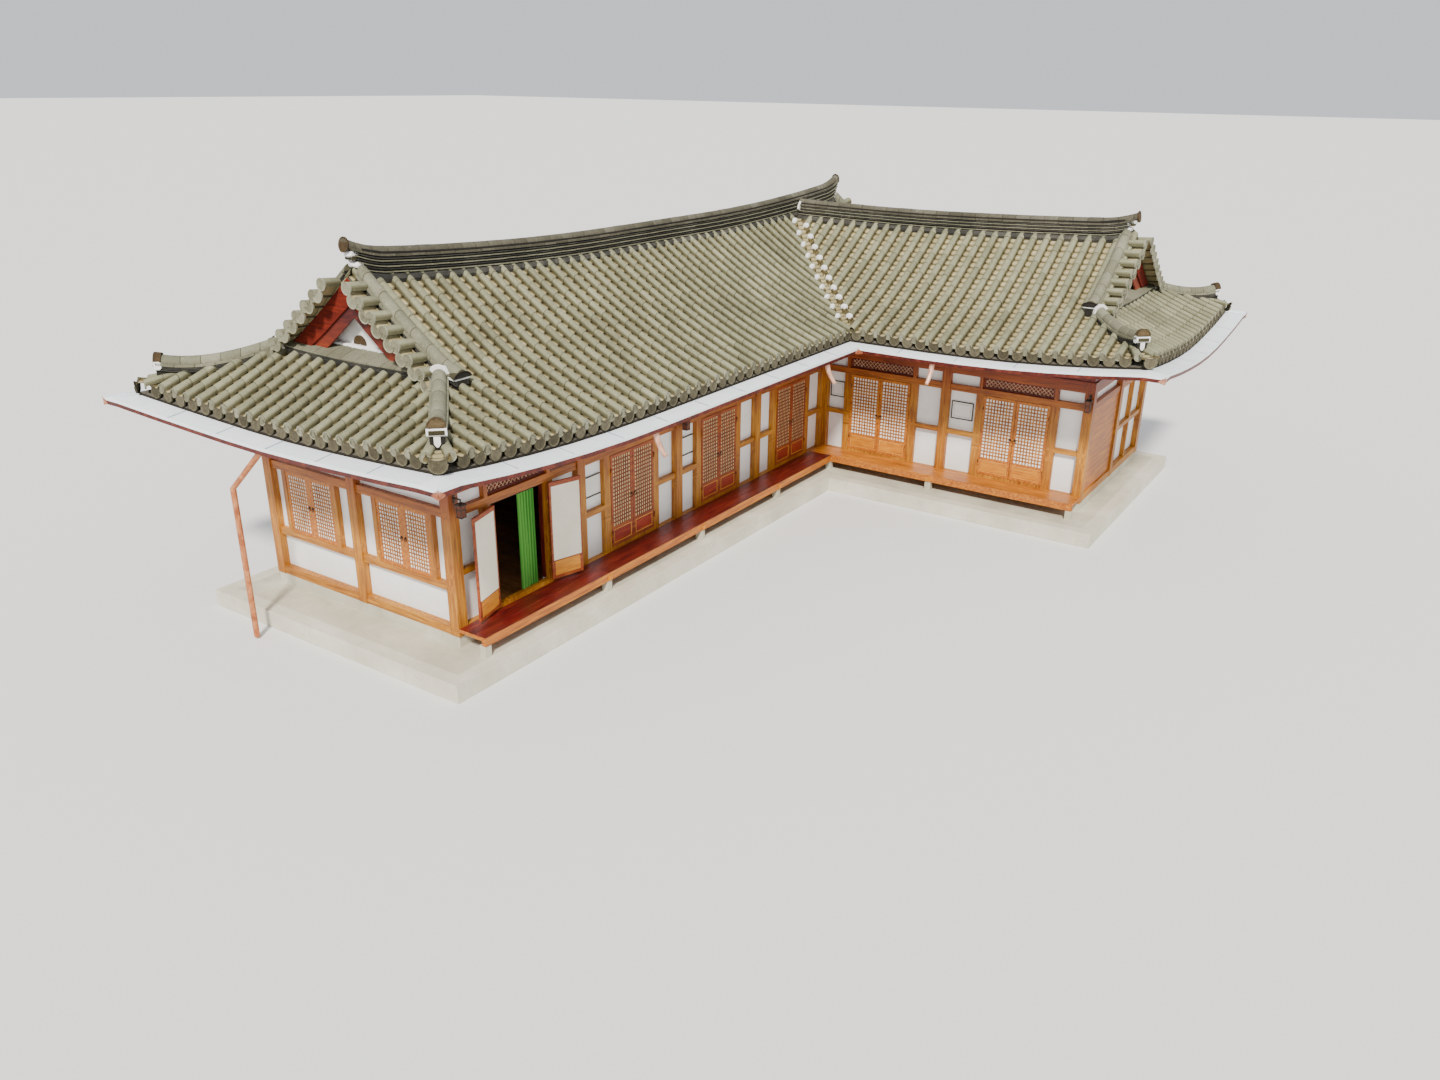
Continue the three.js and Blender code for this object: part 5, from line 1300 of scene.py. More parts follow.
def build_top_ridge(name, line, height, both):
    """The stacked ridge: a round base course, thin tiles, a pale flat course, a round cap."""
    parts = {key: Shapes() for key in ("top", "base", "thin", "core", "end", "mortar")}

    def lay_course(key, profile, recess, **settings):
        start = recess if both else 0.0
        add_course(parts[key], line, profile, start, line.length - recess, **settings)
    lay_course("core", slab_profile(TOP_CORE, CORE_FOOT, height - 0.08), 0.26, tile=2.0, gap=0.0, joint=1.0)
    lay_course("thin", slab_profile(*BASE_COURSE, 1), 0.3, tile=0.3, joint=0.99)
    lay_course("base", slab_profile(*PALE_COURSE), 0.26, offset=0.3, joint=1.0)
    climb = (height - THIN_TOP) - THIN_FOOT
    for i in range(THIN_COURSES):
        low = THIN_FOOT + climb * i / THIN_COURSES
        lay_course("base" if i in (1, 3) else "thin", slab_profile(THIN_HALVES[i % 2], low, low + 0.017),
                   0.2 - 0.025 * i, tile=THIN_TILE, offset=0.5 * (i % 2), joint=1.0, gap=THIN_GAP)
    half, foot, top = UPPER_COURSE
    lay_course("top", slab_profile(half, height - foot, height - top), 0.05, offset=0.2, joint=1.0)
    add_course(parts["top"], line, cap_profile(TOP_CAP, height - TOP_CAP), offset=0.1)
    add_ridge_end(parts, line, height, True)
    if both:
        add_ridge_end(parts, line, height, False)
    else:
        here, out = tip(line, 0.2, 0.02, False)
        parts["mortar"].add_arch(upright(here, -out), 0.19, 0.13, 0.04, 0.05, rough=0.012)
    build_parts(parts, name, name)


def branch_line(slope, s, low):
    """Down a slope beside the verge, from the top ridge to near the skirt."""
    slope = SLOPES[slope]
    start = HALF_SPAN - BRANCH_START

    def place(run):
        t = run / (start - low)
        return slope.at(s, start - run, BRANCH_CURL * t ** 4)
    return Line(place, start - low)


def hip_line(slope, from_end, start):
    """Down the diagonal between two slopes."""
    slope = SLOPES[slope]
    length = (start - HIP_END) * math.sqrt(2)

    def place(run):
        d = start - run / math.sqrt(2)
        s = slope.length - d if from_end else d
        return slope.at(s, d, HIP_CURL * (run / length) ** 3)
    return Line(place, length)


def foot_line(slope, verge, first, last):
    slope = SLOPES[slope]
    return Line(lambda run: slope.at(first + run, verge), last - first)


def add_branch(parts, line, height):
    """A low stacked ridge: thin tiles, a flat band and one big barrel cap."""
    radius = BRANCH_CAP
    middle = height - radius
    add_course(parts["core"], line, slab_profile(0.1, CORE_FOOT, middle), tile=3.0, gap=0.0, joint=1.0)
    add_course(parts["cap"], line, cap_profile(radius, middle))
    band = slab_profile(BRANCH_SIDE, middle - 0.055, middle - 0.012)
    add_course(parts["cap"], line, band, offset=0.3, joint=0.99)
    low = middle - 0.135
    for i in range(3):
        half = BRANCH_SIDE - 0.004 - 0.01 * (i % 2)
        course = slab_profile(half, low + 0.025 * i, low + 0.025 * i + 0.016)
        offset = 0.5 * (i % 2)
        add_course(parts["thin"], line, course, tile=THIN_TILE, offset=offset, joint=1.0, gap=THIN_GAP)


def add_half_disc(shapes, centre, out, radius, tall=1.0, flare=0.9, reach=0.12):
    """A flared end tile: a deep half round with a pressed rim."""
    place = upright(centre, out)
    angles = np.radians(np.linspace(0, 180, 15))
    arc = np.stack([np.cos(angles), 0 * angles, np.sin(angles) * tall], -1)
    flat = np.stack([np.linspace(-1, 1, 7)[1:-1], np.zeros(5), np.zeros(5)], -1)
    loop = np.concatenate([arc, flat]) * radius
    steps = [(flare, -reach), (1.0, 0.0), (0.88, 0.0), (0.85, -0.012), (0.02, -0.012)]
    centre_up = np.array([0, 0, radius * tall * 0.4])
    rows = [(loop - centre_up) * size + centre_up + (0, forward, 0) for size, forward in steps]
    grain = [np.broadcast_to((size, 0, 0), loop.shape) for size, _ in steps]
    shapes.add_grids(moved(np.array(rows), place)[None], closed=True, grain=np.array(grain)[None])


HORN_RADIUS = 0.185


def add_branch_end(parts, line):
    """A branch ridge stops in a wide, low tile over mortar and a flat tile; a near black face on it is
    painted shade in the tile's hollow.
    """
    centre, out = tip(line, BRANCH_TOP - 0.13)
    level = unit(out * [1, 1, 0])
    add_half_disc(parts["cap"], centre + level * 0.005, out, HORN_RADIUS, 0.55, 0.66, 0.2)
    # Painted shade: a thin near black face just in front of the end tile, for the shade in its hollow.
    add_half_disc(parts["horn"], centre + level * 0.02, out, HORN_RADIUS * 1.01, 0.56, 0.99, 0.012)
    parts["mortar"].add_box((-0.15, -0.16, -0.035), (0.15, 0.012, 0.0), upright(centre, out), bevel=0.012)
    parts["cap"].add_box((-0.12, -0.14, -0.1), (0.12, 0.0, -0.035), upright(centre, out), bevel=0.008)


def add_hip_ends(parts, line):
    """A hip starts under an arch of mortar and ends in a dark tile over a framed flat one."""
    middle = HIP_TOP - BRANCH_CAP
    head, way = tip(line, middle, 0.12, False)
    parts["mortar"].add_arch(upright(head, -way), 0.16, 0.105, 0.0, 0.05, -35, 0.01)
    centre, out = tip(line, middle)
    add_half_disc(parts["end"], centre + out * 0.02, out, 0.14)
    level = unit(out * [1, 1, 0])
    low, _ = tip(line, middle - 0.07, 0.0)
    place = upright(low, level)
    parts["mortar"].add_box((-0.14, -0.1, -0.065), (0.14, 0.02, 0.07), place, bevel=0.03)
    parts["cap"].add_box((-0.11, 0.0, -0.032), (0.11, 0.034, 0.032), place, bevel=0.008)
    wedge = [(-0.045, -0.16, -0.06), (-0.02, -0.2, -0.06), (0.0, -0.21, -0.06), (0.02, -0.2, -0.06),
             (0.045, -0.16, -0.06)]
    parts["mortar"].add_strip([(x, low_z, high_z) for x, low_z, high_z in wedge], place, -0.08, 0.015)


COPING_OUT, COPING_IN = 0.14, -0.265
COPING_LUMPS = 0.09


def add_foot(parts, line):
    """Sloping coping tiles from the top of the skirt up to the gable's wall."""
    slab = [(COPING_OUT, 0.185), (COPING_OUT, 0.207), (COPING_IN, 0.33), (COPING_IN, 0.3)]
    add_course(parts["cap"], line, np.array(slab), offset=0.2, joint=0.985)
    core = [(0.1, -0.1), (0.1, 0.18), (COPING_IN, 0.29), (COPING_IN, -0.1)]
    add_course(parts["core"], line, np.array(core), tile=4.0, gap=0.0, joint=1.0)
    for i, low in enumerate((0.105, 0.132, 0.159)):
        far = 0.112 + 0.009 * i
        course = [(0.0, low), (far, low), (far, low + 0.018), (0.0, low + 0.018)]
        add_course(parts["thin"], line, np.array(course), tile=THIN_TILE, offset=0.5 * (i % 2), joint=1.0)
    for i in range(round(line.length / COPING_LUMPS)):
        run = min(line.length, COPING_LUMPS * (i + 0.5))
        here = line.ring(run, np.array([[COPING_IN + 0.02, 0.325]]))[0]
        parts["mortar"].add_lump(Matrix.Translation(here), np.array([0.06, 0.06, 0.03]))
    for run in (0.0, line.length):
        here = line.ring(run, np.array([[0.1, 0.17]]))[0]
        parts["mortar"].add_lump(Matrix.Translation(here), np.array([0.06, 0.06, 0.06]))


def build_gable_ridges(name, branches, hips, foot):
    """The branch ridges, hip ridges and sloping coping round one gable."""
    parts = {key: Shapes() for key in ("cap", "thin", "core", "end", "horn", "mortar")}
    for line in branches:
        add_branch(parts, line, BRANCH_TOP)
        add_branch_end(parts, line)
    for line in hips:
        add_branch(parts, line, HIP_TOP)
        add_hip_ends(parts, line)
    add_foot(parts, foot)
    build_parts(parts, name, f"{name}s")


def build_ridges():
    build_top_ridge("main_ridge", main_line(), RIDGE_TOP, True)
    build_top_ridge("wing_ridge", wing_line(), WING_RIDGE_TOP, False)
    left, other = LEFT_VERGE + BRANCH_INSET, OTHER_VERGE + BRANCH_INSET
    length = RIGHT - LEFT
    left_end, other_end = LEFT_VERGE - LEFT_BRANCH_END, OTHER_VERGE - BRANCH_END
    left_hip, other_hip = LEFT_VERGE + HIP_START, OTHER_VERGE + HIP_START
    build_gable_ridges(
        "left_gable_ridge",
        [branch_line("long_front", left, left_end), branch_line("long_back", length - left, left_end)],
        [hip_line("long_end", True, left_hip), hip_line("long_end", False, left_hip)],
        foot_line("long_end", LEFT_VERGE, left, BACK - FRONT - left))
    build_gable_ridges(
        "wing_gable_ridge",
        [branch_line("wing_yard", other, other_end), branch_line("wing_outer", other, other_end)],
        [hip_line("wing_end", False, other_hip), hip_line("wing_end", True, other_hip)],
        foot_line("wing_end", OTHER_VERGE, other, RIGHT - WING_LEFT - other))
    build_gable_ridges(
        "far_gable_ridge",
        [branch_line("long_front", length - other, OTHER_VERGE + BRANCH_END),
         branch_line("long_back", other, other_end)],
        [hip_line("long_back", False, other_hip)],
        foot_line("wing_outer", OTHER_VERGE, FRONT - WING_FRONT + other, BACK - WING_FRONT - other))


# The gutter's seams, beaded lip and corner leaves.

def gutter_point(slope, s, out, rise):
    d = float(slope.eave(s))
    return slope.at(s, d, rise) - np.array([*slope.up, 0]) * out


def gutter_fall(out):
    return GUTTER_HIGH + (GUTTER_LOW - GUTTER_HIGH) * out / GUTTER_WIDTH


def add_gutter_seam(shapes, slope, s):
    rows = []
    for out in (0.005, GUTTER_WIDTH - 0.009):
        base = gutter_fall(out)
        rows.append([gutter_point(slope, s + u, out, base + z)
                     for u, z in ((-0.011, -0.002), (0.011, -0.002), (0.005, 0.012), (-0.005, 0.012))])
    shapes.add_grids(np.array([rows]), closed=True, caps=True)


def add_gutter_bead(shapes, slope, start, end, radius=0.009):
    around = np.linspace(0, 2 * math.pi, 8, endpoint=False)
    rows = []
    for s in np.linspace(start, end, round((end - start) / 0.3)):
        rows.append([gutter_point(slope, s, GUTTER_WIDTH - 0.004 + radius * math.cos(a),
                                  GUTTER_LIP + radius * math.sin(a)) for a in around])
    shapes.add_grids(np.array([rows]), closed=True, caps=True)


LEAF_EDGE = [(0.0, 0.085), (0.012, 0.055), (0.03, 0.035), (0.05, 0.045), (0.066, 0.02), (0.09, 0.008),
             (0.12, -0.01)]


def add_corner_leaf(shapes, slope, s, way):
    """Half of a three-pointed copper leaf, folded round a corner of the gutter."""
    point = gutter_point(slope, s, GUTTER_WIDTH + 0.003, GUTTER_LOW - 0.03)
    side = np.array([*(slope.along * way), 0.0])
    out = np.array([*(-slope.up), 0.0])
    place = Matrix([(side[i], out[i], (0, 0, 1)[i], point[i]) for i in range(3)] + [(0, 0, 0, 1)])
    shapes.add_strip([(x, -0.07 + 0.3 * x, high) for x, high in LEAF_EDGE], place, 0.0, 0.006)


def build_gutter_trim():
    seams, beads, leaves = Shapes(), Shapes(), Shapes()
    for name, length, both in EAVES:
        slope = SLOPES[name]
        count = round(length / GUTTER_SEAM)
        for k in range(1, count):
            add_gutter_seam(seams, slope, length * k / count)
        end = length + (GUTTER_WIDTH if both else -GUTTER_WIDTH)
        add_gutter_bead(beads, slope, -GUTTER_WIDTH, end)
        add_corner_leaf(leaves, slope, -GUTTER_WIDTH, 1)
        add_corner_leaf(leaves, slope, end, -1)
    beads.build("gutter_beads", "house", "sheet", SHEET)
    seams.build("gutter_seams", "house", "sheet", GUTTER_SEAMS)
    leaves.build("gutter_corner_leaves", "house", "copper", LEAF_COPPER)


# Walls. Each facade is drawn as seen from outside: u to the right, v inward, z up.

FACADES = {
    "yard": {"at": (0, 0), "turn": 0},
    "wing_yard": {"at": (LONG_LENGTH, 0), "turn": -90},
    "wing_end": {"at": (LONG_LENGTH, -WING_LENGTH), "turn": 0},
    "outer": {"at": (RIGHT_FACE, -WING_LENGTH), "turn": 90},
    "back": {"at": (RIGHT_FACE, DEPTH), "turn": 180},
    "left_end": {"at": (0, DEPTH), "turn": -90},
}
LONG_LEAF = 0.655
WING_LEAF = 0.75
LONG_DOORS = (1.56, 4.6, 7.54, 10.51)
WING_DOORS = (1.45, 4.69)
OPEN_DOOR = "yard_door_1"
OPEN_ANGLE = math.radians(165)
HINGE_SETBACK = 0.006
LEAF_FACE = 0.016
LEAF_THICKNESS = 0.04
RECESS = 0.014
STILE = 0.062
LEAF_START = 0.006
LEAF_GAP = 0.005
LEAF_LOW, LEAF_HIGH = 0.716, 2.504
KICK_BOARD = 0.33
KICK_INSET = 0.022
MOULDING = 0.013
# The inner paper's margins: at the hinges, where the leaves meet, at its foot and at its top.
INNER_MARGINS = (0.045, 0.03, 0.02, 0.075)
RING_INSET = 0.046
RING_HEIGHT = 1.62
DOOR_RING = (0.036, 0.005)
WINDOW_RING = (0.026, 0.004)
HINGE_HEIGHTS = (1.01, 2.22)
HINGE_PLATE = 0.034
DOORS = [("yard", i + 1, middle, LONG_LEAF) for i, middle in enumerate(LONG_DOORS)]
DOORS += [("wing_yard", i + 1, middle, WING_LEAF) for i, middle in enumerate(WING_DOORS)]
# Lattices: the pitch across, the pitch up and the width of a bar.
DOOR_LATTICE = (0.068, 0.0745, 0.027)
WINDOW_LATTICE = (0.056, 0.066, 0.021)
LATTICE_DEPTH = 0.011


def facade_place(name):
    facade = FACADES[name]
    return Matrix.Translation((*facade["at"], 0)) @ Matrix.Rotation(math.radians(facade["turn"]), 4, "Z")


def leaf_place(facade, door, middle, leaf, side):
    """A leaf's own frame: the hinge axis at 0, 0, the leaf running to +X, its face to -Y."""
    angle = OPEN_ANGLE if f"{facade}_door_{door}" == OPEN_DOOR else 0.0
    turn = Matrix.Rotation(side * angle, 4, "Z")
    place = facade_place(facade) @ Matrix.Translation((middle + side * leaf, HINGE_SETBACK, 0)) @ turn
    return place @ Matrix.Diagonal((-side, 1, 1, 1))


def add_lattice(shapes, place, x0, x1, z0, z1, face, grid=DOOR_LATTICE):
    """A grid of thin bars, halved into each other."""
    across, up, bar = grid
    columns = round((x1 - x0) / across)
    rows = round((z1 - z0) / up)
    half = bar / 2
    for i in range(1, columns):
        x = x0 + (x1 - x0) * i / columns
        shapes.add_box((x - half, face, z0), (x + half, face + LATTICE_DEPTH, z1), place, 2, 0.002)
    for i in range(1, rows):
        z = z0 + (z1 - z0) * i / rows
        shapes.add_box((x0, face + 0.001, z - half), (x1, face + LATTICE_DEPTH, z + half), place, 0, 0.002)


def add_border(shapes, place, low, high, width, bevel=0.002):
    """Four bars round a rectangle in a frame's x and z."""
    (x0, y0, z0), (x1, y1, z1) = low, high
    for a, b in (((x0, y0, z0), (x1, y1, z0 + width)), ((x0, y0, z1 - width), (x1, y1, z1))):
        shapes.add_box(a, b, place, 0, bevel)
    for a, b in (((x0, y0, z0 + width), (x0 + width, y1, z1 - width)),
                 ((x1 - width, y0, z0 + width), (x1, y1, z1 - width))):
        shapes.add_box(a, b, place, 2, bevel)


def build_leaf(facade, door, middle, leaf, side):
    """What a door leaf carries: lattice, mouldings, kick boards, paper and metalwork."""
    name = f"{facade}_door_{door}_{'left' if side < 0 else 'right'}"
    # Painted shade: the yard's leaves take the darker wood, and all but the first also the darker kick
    # boards and paper.
    yard, dark = facade == "yard", facade == "yard" and door > 1
    place = leaf_place(facade, door, middle, leaf, side)
    width, face, back = leaf - LEAF_GAP, LEAF_FACE, LEAF_FACE + LEAF_THICKNESS
    left, right = LEAF_START + STILE, width - STILE
    sill, top, kick_top = LEAF_LOW + STILE, LEAF_HIGH - STILE, LEAF_LOW + KICK_BOARD
    bars, edges, boards, paper, inner, metal = (Shapes() for _ in range(6))
    add_lattice(bars, place, left, right, kick_top + STILE, top, face + 0.002)
    paper.add_box((left + 0.001, face + RECESS - 0.001, kick_top + STILE + 0.001),
                  (right - 0.001, face + RECESS - 0.0002, top - 0.001), place, 2)
    hinged, meeting, foot, head = INNER_MARGINS
    inner.add_box((hinged, back, kick_top + foot),
                  (width - meeting, back + 0.0015, LEAF_HIGH - head), place, 2)
    boards.add_box((left + KICK_INSET, face + 0.001, sill + KICK_INSET),
                   (right - KICK_INSET, face + 0.007, kick_top - KICK_INSET), place, 0, 0.005)
    boards.add_box((left, back, sill), (right, back + 0.004, kick_top), place, 0, 0.003)
    add_border(edges, place, (left, face - 0.003, sill), (right, face + 0.007, kick_top), MOULDING)
    add_ring(metal, place @ Matrix.Translation((width - RING_INSET, face - 0.001, RING_HEIGHT)), *DOOR_RING)
    for z in HINGE_HEIGHTS:
        metal.add_box((LEAF_START, face - 0.0065, z - HINGE_PLATE),
                      (0.03, face - 0.0042, z + HINGE_PLATE), place, 2, 0.001)
    for label, shapes, slot, look in (
            ("lattice", bars, "door_timber", SHADED_YARD_WOOD if yard else WOOD),
            ("moulding", edges, "door_timber", EDGE_WOOD),
            ("kick_board", boards, "door_timber", SHADED_YARD_KICK if dark else KICK_WOOD),
            ("inner_paper", inner, "plaster", INNER_PAPER),
            ("paper", paper, "plaster", SHADED_TAN_PAPER if dark else PAPER),
            ("metalwork", metal, "copper", IRON)):
        shapes.build(f"{name}_{label}", name, slot, look, smooth=label == "metalwork")


# A ring's back plate: its radius, and the size and depth of each step of its turned face.
RING_PLATE = 0.026
PLATE_STEPS = [(1.0, 0.0), (1.0, -0.002), (0.85, -0.004), (0.3, -0.005), (0.25, -0.012), (0.01, -0.013)]


def add_ring(shapes, place, radius, thickness):
    """A pull ring hanging flat on its round back plate."""
    angles = np.linspace(0, 2 * math.pi, 20, endpoint=False)
    tube = np.linspace(0, 2 * math.pi, 8, endpoint=False)
    inward = np.array([0, 1.0, 0])
    rings = []
    for a in np.append(angles, angles[0]):
        centre = np.array([radius * math.cos(a), -thickness * 1.6, radius * math.sin(a) - radius])
        out = np.array([math.cos(a), 0, math.sin(a)])
        rings.append([centre + thickness * (math.cos(t) * out + math.sin(t) * inward) for t in tube])
    plate = []
    for size, y in PLATE_STEPS:
        plate.append([(RING_PLATE * size * math.cos(a), y, RING_PLATE * size * math.sin(a)) for a in angles])
    for grid in (rings, plate):
        shapes.add_grids(moved(np.array(grid), place)[None], closed=True)


WINDOWS = [("outer", 2), ("back", 3), ("back", 5), ("left_end", 1), ("left_end", 2)]
PANE_NEAR = 0.09
PANE_FAR = 0.538
WINDOW_FACE = 0.042
WINDOW_PAPER = (0.053, 0.0538)
WINDOW_RING_PLACE = (0.045, 0.039, 1.95)


def build_windows():
    """Lattice, paper and rings in each pair of fixed panes."""
    for facade, index in WINDOWS:
        node = f"{facade}_window_{index}"
        inverse = facade_place(facade).inverted()
        middle = sum((inverse @ corner).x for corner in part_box(node)) / 2
        place = facade_place(facade) @ Matrix.Translation((middle, 0, 0))
        bars, paper, metal = Shapes(), Shapes(), Shapes()
        bottom, top = WINDOW_SILL_TOP + STILE, DOOR_HEAD - STILE
        for side in (-1, 1):
            x0, x1 = sorted((side * PANE_NEAR, side * PANE_FAR))
            add_lattice(bars, place, x0, x1, bottom, top, WINDOW_FACE, WINDOW_LATTICE)
            paper.add_box((x0 + 0.001, WINDOW_PAPER[0], bottom + 0.001),
                          (x1 - 0.001, WINDOW_PAPER[1], top - 0.001), place, 2)
            x, y, z = WINDOW_RING_PLACE
            add_ring(metal, place @ Matrix.Translation((side * x, y, z)), *WINDOW_RING)
        bars.build(f"{node}_lattice", "house", "timber", WOOD, smooth=False)
        paper.build(f"{node}_paper", "house", "plaster", PAPER, smooth=False)
        metal.build(f"{node}_rings", "house", "copper", IRON)


def build_doors():
    for facade, door, middle, leaf in DOORS:
        for side in (-1, 1):
            build_leaf(facade, door, middle, leaf, side)


TRANSOM_PITCH = 0.064
TRANSOM_BAR = 0.01
TRANSOM_SPREAD = 0.044
TRANSOM_FRAME = 0.035
TRANSOM_BACK = 0.115
TRANSOM_FRONT = 0.085


def add_diagonals(shapes, place, half, low, high, face):
    """Crossing diagonal bars, cut to a rectangle."""
    height = high - low
    for turn in (1, -1):
        for start in np.arange(-half - height, half, TRANSOM_PITCH * math.sqrt(2)):
            x0, x1 = max(start, -half), min(start + height, half)
            if x1 - x0 < 0.03:
                continue
            z0, z1 = low + (x0 - start), low + (x1 - start)
            length = math.hypot(x1 - x0, z1 - z0) / 2 - TRANSOM_BAR / 2
            centre = Matrix.Translation((turn * (x0 + x1) / 2, 0, (z0 + z1) / 2))
            bar = place @ centre @ Matrix.Rotation(-turn * math.pi / 4, 4, "Y")
            depth = 0.005 if turn > 0 else 0.0
            shapes.add_box((-length, face + depth, -TRANSOM_BAR / 2),
                           (length, face + 0.012 + depth, TRANSOM_BAR / 2), bar, 0)


def build_transoms():
    """Diagonal lattices on dark red boards above the doors; the boards' darkness is partly painted shade
    under the eave.
    """
    bars, boards = Shapes(), Shapes()
    for facade, _, middle, leaf in DOORS:
        place = facade_place(facade) @ Matrix.Translation((middle, 0, 0))
        half = leaf + TRANSOM_SPREAD
        low, high = HEAD_RAIL_TOP + 0.001, BAND_TOP - 0.001
        inset = TRANSOM_FRAME + 0.001
        boards.add_box((-half, TRANSOM_BACK, low), (half, WALL_FACE - 0.0005, high), place, 0)
        add_border(boards, place, (-half, TRANSOM_FRONT, low), (half, TRANSOM_BACK, high), TRANSOM_FRAME)
        add_diagonals(bars, place, half - inset, low + inset, high - inset, TRANSOM_FRONT + 0.01)
    bars.build("transom_lattices", "house", "timber", PALE_WOOD, smooth=False)
    boards.build("transom_boards", "house", "timber", RED_WOOD, smooth=False)


LINING = 0.004
LINING_FOOT = 0.062


def build_linings():
    """Thin dark boards that line the doorways through the plaster."""
    shapes = Shapes()
    for facade, _, middle, leaf in DOORS:
        place = facade_place(facade) @ Matrix.Translation((middle, 0, 0))
        for side in (-1, 1):
            x0, x1 = sorted((side * leaf, side * (leaf - LINING)))
            shapes.add_box((x0, WALL_FACE - 0.012, FLOOR + LINING_FOOT),
                           (x1, PLASTER_BACK + 0.003, DOOR_HEAD - 0.001), place, 2, 0.001)
    shapes.build("doorway_linings", "house", "timber", RED_WOOD, smooth=False)


GABLE_TILE_Y = 2.5
GABLE_TILE_Z = 4.8


def build_gable_tile():
    """A small half-round tile set on edge in the plaster of the left gable."""
    shapes = Shapes()
    turn = Matrix.Rotation(-math.pi / 2, 4, "Z")
    place = Matrix.Translation((LEFT_GABLE - 0.02, GABLE_TILE_Y, GABLE_TILE_Z)) @ turn
    shapes.add_arch(place, 0.15, 0.02, 0.0, 0.06)
    shapes.build("gable_tile", "house", "tile", DARK_END)


# Hung things: bare picture frames, bare scrolls, lanterns and one curtain.

# Frames and scrolls: a facade, a stretch along it, a foot and a top.
FRAMES = [("wing_yard", 0.13, 0.5, 1.89, 2.27), ("wing_yard", 3.19, 3.7, 1.855, 2.262)]
SCROLLS = [("yard", 3.3, 3.72, 1.85, 2.23), ("yard", 6.24, 6.67, 1.86, 2.23)]
# Lanterns: a facade, a place along it, how far out it hangs, a foot and a top.
LANTERNS = [("yard", 0.11, 0.15, 2.57, 2.81), ("yard", 6.14, 0.12, 2.49, 2.72),
            ("wing_yard", 6.24, 0.1, 2.54, 2.81)]
HUNG_BACK = WALL_FACE - 0.0005
FRAME_BAR = 0.022
FRAME_FACE = 0.104
FRAME_PAPER = 0.116
# The thin line drawn inside a frame: its margin, width, face and back.
FRAME_LINE = (0.06, 0.004, 0.1145, 0.1165)
SCROLL_FACE = 0.119
# A scroll's rods: half their height, how far they reach past it, their face and back.
SCROLL_ROD = (0.011, 0.02, 0.1, 0.122)
LANTERN_HALF = 0.055
LANTERN_POST = 0.012
LANTERN_INSET = 0.008


def build_hung_things():
    dark, paper, lamps = Shapes(), Shapes(), Shapes()
    for facade, x0, x1, z0, z1 in FRAMES:
        place = facade_place(facade)
        add_border(dark, place, (x0, FRAME_FACE, z0), (x1, HUNG_BACK, z1), FRAME_BAR)
        paper.add_box((x0 + FRAME_BAR, FRAME_PAPER, z0 + FRAME_BAR),
                      (x1 - FRAME_BAR, HUNG_BACK, z1 - FRAME_BAR), place, 0)
        margin, width, face, back = FRAME_LINE
        add_border(dark, place, (x0 + margin, face, z0 + margin),
                   (x1 - margin, back, z1 - margin), width, 0.0)
    for facade, x0, x1, z0, z1 in SCROLLS:
        place = facade_place(facade)
        half, reach, face, back = SCROLL_ROD
        for z in (z0, z1):
            dark.add_box((x0 - reach, face, z - half), (x1 + reach, back, z + half), place, 0, 0.006)
        paper.add_box((x0, SCROLL_FACE, z0), (x1, HUNG_BACK, z1), place, 2)
    for facade, u, out, low, high in LANTERNS:
        add_lantern(dark, lamps, facade_place(facade) @ Matrix.Translation((u, -out, 0)), out, low, high)
    dark.build("hung_frames_and_rods", "house", "dark_timber", DARK_WOOD, smooth=False)
    paper.build("hung_papers", "house", "plaster", HUNG_PAPER, smooth=False)
    lamps.build("lantern_papers", "house", "plaster", LAMP_PAPER, smooth=False)


def add_lantern(dark, paper, place, out, low, high):
    """A small square lantern: a wooden cage with paper sides, on a bracket."""
    half, post = LANTERN_HALF, LANTERN_POST
    side = half - LANTERN_INSET
    paper.add_box((-side, -side, low + 0.01), (side, side, high - 0.03), place, 2)
    for x in (-half, half - post):
        for y in (-half, half - post):
            dark.add_box((x, y, low), (x + post, y + post, high - 0.02), place, 2, 0.002)
    for z, size in ((low, half), ((low + high) / 2, half), (high - 0.035, half + post)):
        inner = size - post
        for x0, y0, x1, y1 in ((-size, -size, size, -inner), (-size, inner, size, size),
                               (-size, -size, -inner, size), (inner, -size, size, size)):
            dark.add_box((x0, y0, z), (x1, y1, z + 0.014), place, 0, 0.002)
    dark.add_box((-half, -half, high - 0.022), (half, half, high - 0.008), place, 0, 0.004)
    dark.add_box((-0.008, -0.008, high - 0.01), (0.008, 0.008, high + 0.05), place, 2)
    dark.add_box((-0.01, -0.01, high + 0.04), (0.01, out - 0.001, high + 0.062), place, 1)
    dark.add_box((-0.02, out - 0.012, high - 0.03), (0.02, out - 0.0005, high + 0.09), place, 2, 0.002)


CURTAIN_LEFT, CURTAIN_RIGHT, CURTAIN_LOW, CURTAIN_HIGH = 1.58, 1.98, 0.722, 2.46
CURTAIN_DEPTH = 0.1
CURTAIN_FOLD = 0.018
CURTAIN_FOLDS = 5
CURTAIN_THICKNESS = 0.0015
CURTAIN_ACROSS, CURTAIN_UP = 61, 13


def curtain_look():
    look = Look("green_curtain", 0.85, specular=0.2)
    place = look.place()
    x = look.node("ShaderNodeSeparateXYZ", {"Vector": place}).outputs["X"]
    stripe = look.ramp(look.math("FRACT", look.math("MULTIPLY", x, 14.0)),
                       [(0.0, (0.03, 0.16, 0.02)), (0.45, (0.05, 0.25, 0.03)), (0.8, (0.12, 0.38, 0.06))])
    weave = look.noise(look.scaled(place, (1.0, 1.0, 0.2)), 220.0, 3.0, 0.7)
    shade = look.ramp(weave, [(0.3, (0.8, 0.8, 0.8)), (0.7, (1.12, 1.12, 1.12))])
    look.color(look.mix(1.0, stripe, shade, "MULTIPLY"))
    look.bump(weave, 0.0008)
    return look.material


